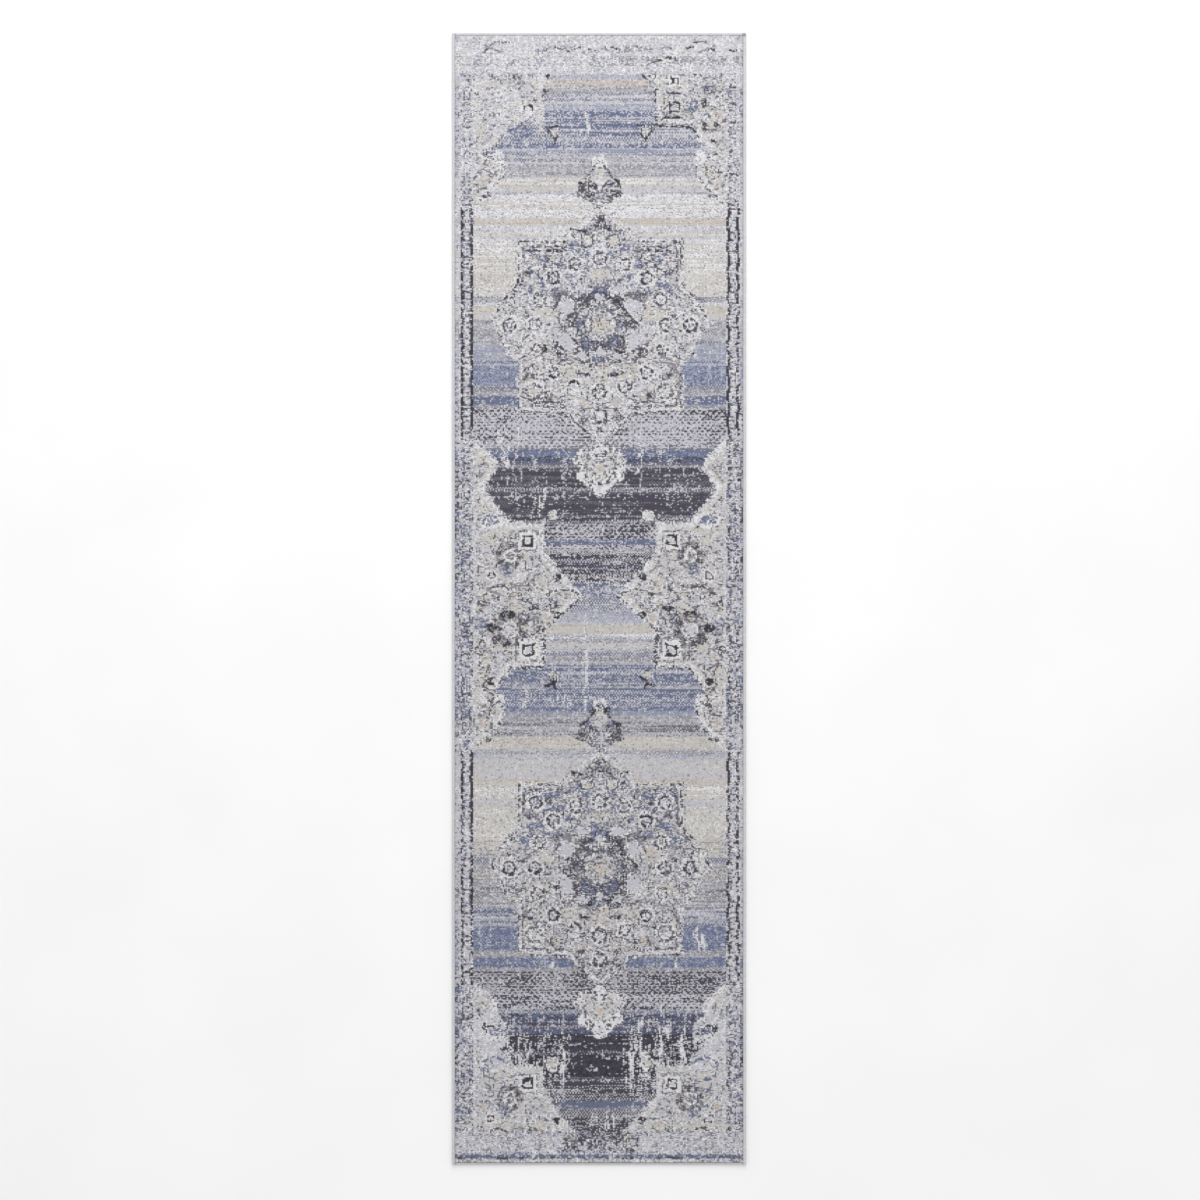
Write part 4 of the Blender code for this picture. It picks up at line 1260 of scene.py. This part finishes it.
def serging_material(colour):
    """Overcast polyester yarn: satin turns side by side, each of two plies twisted together.

    Turns differ a little in lightness; painted shade darkens them where they meet and in soft
    slanted lines 1.3 mm apart along the ply twist. A small spot at one corner is darker.
    """
    material, tree, shader = new_material("overcast_polyester_yarn", 0.7, 0.2)
    where = add_node(tree, "TexCoord", out="Object")
    wraps = add_node(tree, "UVMap", uv_map="wraps")
    along, around = add_node(tree, "SeparateXYZ", [wraps]).node.outputs[:2]
    turn = add_node(tree, "Math", [along], operation="FLOOR")
    each = add_node(tree, "TexWhiteNoise", {"W": turn}, noise_dimensions="1D")
    across = add_node(tree, "Math", [along], operation="FRACT")
    from_middle = add_node(tree, "Math", [across, 0.5], operation="SUBTRACT")
    from_middle = add_node(tree, "Math", [from_middle], operation="ABSOLUTE")
    # Painted shade where two turns meet, down to 0.72 at the join
    gap = add_node(tree, "MapRange", [from_middle, 0.3, 0.5, 1.0, 0.72])
    # Painted shade along the ply twist, from 0.93 to 1.03; the same twist drives the bump
    twist = add_node(tree, "Math", [around, 4.8, across], operation="MULTIPLY_ADD")
    twist = add_node(tree, "Math", [twist], operation="SINE")
    ply = add_node(tree, "MapRange", [twist, -1.0, 1.0, 0.93, 1.03])
    own = add_node(tree, "MapRange", [each, 0.0, 1.0, 0.94, 1.05])
    fibre = add_node(tree, "TexNoise", {"Vector": where, "Scale": 2500.0, "Detail": 2.0})
    shade = add_node(tree, "Math", [gap, ply], operation="MULTIPLY")
    shade = add_node(tree, "Math", [shade, own], operation="MULTIPLY")
    # A spot at one corner, darkened to half within 2.5 mm and back to full by 6 mm
    corner = (RUG_WIDTH / 2 - 0.003, RUG_LENGTH / 2 - 0.004, 0.005)
    reach = add_node(tree, "VectorMath", [where, corner], out="Value", operation="DISTANCE")
    corner_spot = add_node(tree, "MapRange", [reach, 0.0025, 0.006, 0.5, 1.0])
    shade = add_node(tree, "Math", [shade, corner_spot], operation="MULTIPLY")
    dyed_yarn = {0: tuple(colour), "Scale": shade}
    tone = add_node(tree, "VectorMath", dyed_yarn, operation="SCALE")
    tree.links.new(tone, shader.inputs["Base Color"])
    height = add_node(tree, "Math", [twist, 0.3, fibre], operation="MULTIPLY_ADD")
    bump = add_node(tree, "Bump", {"Height": height, "Strength": 0.5, "Distance": 0.0002})
    tree.links.new(bump, shader.inputs["Normal"])
    return material


def ground_material(colour):
    """Jute and cotton ground cloth: dull tan threads, painted shade in the pores where they cross.
    """
    material, tree, shader = new_material("jute_ground_cloth", 0.95, 0.1)
    where = add_node(tree, "TexCoord", out="Object")
    # Threads 5.7 mm apart, as on the mesh
    threads = {0: where, "Scale": 2 * math.pi / 0.0057}
    scaled = add_node(tree, "VectorMath", threads, operation="SCALE")
    across, along = add_node(tree, "SeparateXYZ", [scaled]).node.outputs[:2]
    warp = add_node(tree, "Math", [across], operation="SINE")
    weft = add_node(tree, "Math", [along], operation="SINE")
    # Painted shade: darker in the pores between the threads, the same pattern as the bump
    cross = add_node(tree, "Math", [warp, weft], operation="MULTIPLY")
    slub = add_node(tree, "TexNoise", {"Vector": where, "Scale": 700.0, "Detail": 4.0})
    tone = add_node(tree, "Math", [cross, 0.25, slub], operation="MULTIPLY_ADD")
    shade = add_node(tree, "MapRange", [tone, 0.2, 0.8, 0.65, 1.15])
    tan = add_node(tree, "VectorMath", {0: tuple(colour), "Scale": shade}, operation="SCALE")
    tree.links.new(tan, shader.inputs["Base Color"])
    bump = add_node(tree, "Bump", {"Height": tone, "Strength": 0.6, "Distance": 0.0003})
    tree.links.new(bump, shader.inputs["Normal"])
    return material


def latex_material(latex, jute):
    """Latex size coat, brushed on thin: cream and rubbery, with the jute showing through.

    The brush leaves streaks along the rug 3 mm apart, and the coat is thin in blotches about
    20 mm across, where it takes the jute's colour and turns matt.
    """
    material, tree, shader = new_material("brushed_latex_size_coat", 0.7, 0.0)
    where = add_node(tree, "TexCoord", out="Object")
    brushed = add_node(tree, "Mapping", {"Vector": where, "Scale": (1.0, 0.12, 1.0)})
    streak = add_node(tree, "TexNoise", {"Vector": brushed, "Scale": 330.0, "Detail": 3.0})
    rough_noise = {"Vector": where, "Scale": 50.0, "Detail": 5.0, "Roughness": 0.65}
    blotch = add_node(tree, "TexNoise", rough_noise)
    both = add_node(tree, "Math", [streak, 0.6, blotch], operation="MULTIPLY_ADD")
    thin = add_node(tree, "MapRange", [both, 0.72, 0.95, 0.0, 0.75])
    colours = {0: thin, 6: (*latex, 1.0), 7: (*jute, 1.0)}
    coat = add_node(tree, "Mix", colours, out=2, data_type="RGBA")
    tree.links.new(coat, shader.inputs["Base Color"])
    rough = add_node(tree, "MapRange", [thin, 0.0, 0.75, 0.6, 0.9])
    tree.links.new(rough, shader.inputs["Roughness"])
    bump = add_node(tree, "Bump", {"Height": both, "Strength": 0.5, "Distance": 0.0004})
    tree.links.new(bump, shader.inputs["Normal"])
    return material


def cord_material(colour):
    """Twisted cotton cord: dull off-white fibres 0.4 mm apart, uneven along the plies."""
    material, tree, shader = new_material("twisted_cotton_cord", 0.9, 0.15)
    where = add_node(tree, "TexCoord", out="Object")
    fibre = add_node(tree, "TexNoise", {"Vector": where, "Scale": 2500.0, "Detail": 3.0})
    slub = add_node(tree, "TexNoise", {"Vector": where, "Scale": 160.0})
    tone = add_node(tree, "Math", [fibre, 0.6, slub], operation="MULTIPLY_ADD")
    shade = add_node(tree, "MapRange", [tone, 0.55, 1.05, 0.8, 1.1])
    cotton = add_node(tree, "VectorMath", {0: tuple(colour), "Scale": shade}, operation="SCALE")
    tree.links.new(cotton, shader.inputs["Base Color"])
    bump = add_node(tree, "Bump", {"Height": fibre, "Strength": 0.5, "Distance": 0.0003})
    tree.links.new(bump, shader.inputs["Normal"])
    return material


def floor_material():
    """Matt white painted board, faintly clouded. It shows only from above, so that the rug's
    back can be looked at from underneath."""
    material, tree, shader = new_material("matt_painted_board", 0.9, 0.0)
    where = add_node(tree, "TexCoord", out="Object")
    cloud = add_node(tree, "TexNoise", {"Vector": where, "Scale": 3.0, "Detail": 2.0})
    shade = add_node(tree, "MapRange", [cloud, 0.3, 0.7, 0.97, 1.0])
    paint = {0: linear("#FAFAFA"), "Scale": shade}
    white = add_node(tree, "VectorMath", paint, operation="SCALE")
    tree.links.new(white, shader.inputs["Base Color"])
    seen_from_below = add_node(tree, "NewGeometry", out="Backfacing")
    clear = add_node(tree, "BsdfTransparent")
    both = add_node(tree, "MixShader", [seen_from_below, shader.outputs[0], clear])
    tree.links.new(both, tree.nodes["Material Output"].inputs["Surface"])
    return material


# ---------------------------------------------------------------------------------------------
# Operators, panel and registration
# ---------------------------------------------------------------------------------------------

# The camera looks straight down, a hair off the middle, and takes in a little over the length
CAMERA_AT = (0.00204, -0.00204, 3.0)
CAMERA_SPAN = RUG_LENGTH * 1.06

# An even white sky over a wide floor, with one soft lamp beyond the top end, aimed at the middle
FLOOR_HALF = 60.0
WORLD_STRENGTH = 0.86
KEY_AT = (0.0, 2.3, 2.2)
KEY_SIZE = 2.5
KEY_POWER = 34.0


def overcast_edge(node, turn, edge, seed, material):
    """Draw and hand over the band of yarn that stands for a CAD band, as wide as its short side.

    The band is drawn at a distance from the middle, then turned about it to its own edge.
    """
    low, high = extent(node)
    width, length = sorted((high - low)[:2])
    band = overcast_band(
        node.replace("serging", "overcast"), width, high[2] - low[2], length, turn, edge,
        material, seed,
    )
    hand_over(band, "serging", node)


class RUNNER_OT_stage(bpy.types.Operator):
    """Set out the floor, the soft light and the camera that looks straight down"""

    bl_idname = "runner.stage"
    bl_label = "Set Out the Stage"

    def execute(self, context):
        scene = context.scene
        scene.view_settings.view_transform = "Standard"
        scene.view_settings.look = "None"

        half = FLOOR_HALF
        mesh = bpy.data.meshes.new("floor")
        mesh.from_pydata(
            [(-half, -half, 0), (half, -half, 0), (half, half, 0), (-half, half, 0)],
            [], [(0, 1, 2, 3)],
        )
        mesh.materials.append(floor_material())
        floor = bpy.data.objects.new("floor", mesh)
        floor.visible_shadow = False
        scene.collection.objects.link(floor)

        world = bpy.data.worlds.new("studio")
        world.use_nodes = True
        sky = world.node_tree.nodes["Background"]
        sky.inputs["Color"].default_value = (1.0, 1.0, 1.0, 1.0)
        sky.inputs["Strength"].default_value = WORLD_STRENGTH
        scene.world = world

        light = bpy.data.lights.new("key", "AREA")
        light.shape = "SQUARE"
        light.size = KEY_SIZE
        light.energy = KEY_POWER
        key = bpy.data.objects.new("key", light)
        key.location = KEY_AT
        key.rotation_euler = (-math.atan2(KEY_AT[1], KEY_AT[2]), 0.0, 0.0)
        scene.collection.objects.link(key)

        camera = bpy.data.objects.new("camera", bpy.data.cameras.new("camera"))
        camera.data.type = "ORTHO"
        camera.data.ortho_scale = CAMERA_SPAN
        camera.location = CAMERA_AT
        scene.collection.objects.link(camera)
        scene.camera = camera
        return {"FINISHED"}


class RUNNER_OT_pile(bpy.types.Operator):
    """Weave the pile face, cut across into closed sections"""

    bl_idname = "runner.pile"
    bl_label = "Weave the Pile"

    def execute(self, context):
        scene = context.scene
        surface = PileSurface(scene.rug_sizes, scene.rug_yarns)
        material = pile_material()
        cuts = np.linspace(0, surface.paper.rows, PILE_SECTIONS + 1).round().astype(int)
        for number, (first, last) in enumerate(zip(cuts[:-1], cuts[1:]), 1):
            section = pile_section(surface, f"pile_section_{number}", first, last, material)
            hand_over(section, "pile", "pile_face")
        return {"FINISHED"}


class RUNNER_OT_latex(bpy.types.Operator):
    """Brush on the latex size coat, ribbed by the wefts that it covers"""

    bl_idname = "runner.latex"
    bl_label = "Coat the Back"

    def execute(self, context):
        yarns = context.scene.rug_yarns
        low, high = LATEX_BOX
        columns, rows = LATEX_GRID
        across = np.linspace(low[0], high[0], columns + 1)
        up = np.linspace(low[1], high[1], rows + 1)
        # Every second row stands on a weft and the row between hangs in the hollow
        rng = np.random.default_rng(5)
        ribs = LATEX_RIB * (np.arange(rows + 1) % 2)[:, None]
        uneven = smooth_noise((rows + 1, columns + 1), (16, 3), rng) * LATEX_UNEVEN
        bottom = low[2] + ribs + uneven
        top = np.full(bottom.shape, high[2])
        points, polygons = slab(across, up, bottom, top)
        material = latex_material(yarns.latex, yarns.ground)
        coat = add_piece("latex_coat", lay_down(points), polygons, material)
        hand_over(coat, "latex", "latex_backing")
        return {"FINISHED"}


class RUNNER_OT_side_bands(bpy.types.Operator):
    """Overcast the two long sides"""

    bl_idname = "runner.side_bands"
    bl_label = "Overcast the Sides"

    def execute(self, context):
        material = serging_material(context.scene.rug_yarns.serging)
        overcast_edge("serging_left", math.pi, RUG_WIDTH / 2, 21, material)
        overcast_edge("serging_right", 0.0, RUG_WIDTH / 2, 22, material)
        return {"FINISHED"}


class RUNNER_OT_end_bands(bpy.types.Operator):
    """Overcast the two short ends, between the side bands"""

    bl_idname = "runner.end_bands"
    bl_label = "Overcast the Ends"

    def execute(self, context):
        material = serging_material(context.scene.rug_yarns.serging)
        overcast_edge("serging_top_end", math.pi / 2, RUG_LENGTH / 2, 23, material)
        overcast_edge("serging_bottom_end", -math.pi / 2, RUG_LENGTH / 2, 24, material)
        return {"FINISHED"}


class RUNNER_OT_cords(bpy.types.Operator):
    """Lay the twisted cords inside the side bands"""

    bl_idname = "runner.cords"
    bl_label = "Lay the Selvedge Cords"

    def execute(self, context):
        material = cord_material(context.scene.rug_yarns.cord)
        for node in ("selvedge_cord_left", "selvedge_cord_right"):
            low, high = extent(node)
            radius, length = (high[2] - low[2]) / 2, high[1] - low[1]
            cord = twisted_cord(node + "_twist", (low + high) / 2, radius, length, material)
            hand_over(cord, "cord", node)
        return {"FINISHED"}


class RUNNER_OT_ground(bpy.types.Operator):
    bl_idname = "runner.ground"
    bl_label = "Weave the Ground Cloth"

    def execute(self, context):
        low, high = GROUND_BOX
        columns, rows = GROUND_GRID
        across = np.linspace(low[0], high[0], columns + 1)
        up = np.linspace(low[1], high[1], rows + 1)
        col, row = np.meshgrid(np.arange(columns + 1), np.arange(rows + 1))
        # Plain weave: threads pass over and under by turns, so neighbours rise and fall
        over = np.where((col + row) % 2, 1.0, -1.0) * GROUND_RELIEF
        bottom = low[2] + GROUND_RELIEF + over
        top = high[2] - GROUND_RELIEF + over
        points, polygons = slab(across, up, bottom, top)
        material = ground_material(context.scene.rug_yarns.ground)
        cloth = add_piece("ground_cloth", lay_down(points), polygons, material)
        hand_over(cloth, "ground", "ground_weave")
        return {"FINISHED"}


STEPS = (
    RUNNER_OT_stage, RUNNER_OT_pile, RUNNER_OT_latex, RUNNER_OT_side_bands,
    RUNNER_OT_end_bands, RUNNER_OT_cords, RUNNER_OT_ground,
)


class RUNNER_PT_panel(bpy.types.Panel):
    """The runner's steps, sizes and colours"""

    bl_idname = "RUNNER_PT_panel"
    bl_label = "Runner Rug"
    bl_space_type = "VIEW_3D"
    bl_region_type = "UI"
    bl_category = "Runner Rug"

    def draw(self, context):
        for step in STEPS:
            self.layout.operator(step.bl_idname)
        for group in (context.scene.rug_sizes, context.scene.rug_yarns):
            box = self.layout.box()
            for name in group.__annotations__:
                box.prop(group, name)


CLASSES = (RugYarns, RugSizes, *STEPS, RUNNER_PT_panel)


def register():
    """Register the classes and hang the settings on the scene."""
    for item in CLASSES:
        bpy.utils.register_class(item)
    bpy.types.Scene.rug_yarns = PointerProperty(type=RugYarns)
    bpy.types.Scene.rug_sizes = PointerProperty(type=RugSizes)


def unregister():
    """Take the settings off the scene and unregister the classes."""
    del bpy.types.Scene.rug_sizes
    del bpy.types.Scene.rug_yarns
    for item in reversed(CLASSES):
        bpy.utils.unregister_class(item)


def main():
    """Make the whole rug."""
    register()
    for step in STEPS:
        group, name = step.bl_idname.split(".")
        getattr(getattr(bpy.ops, group), name)()


if __name__ == "__main__":
    main()
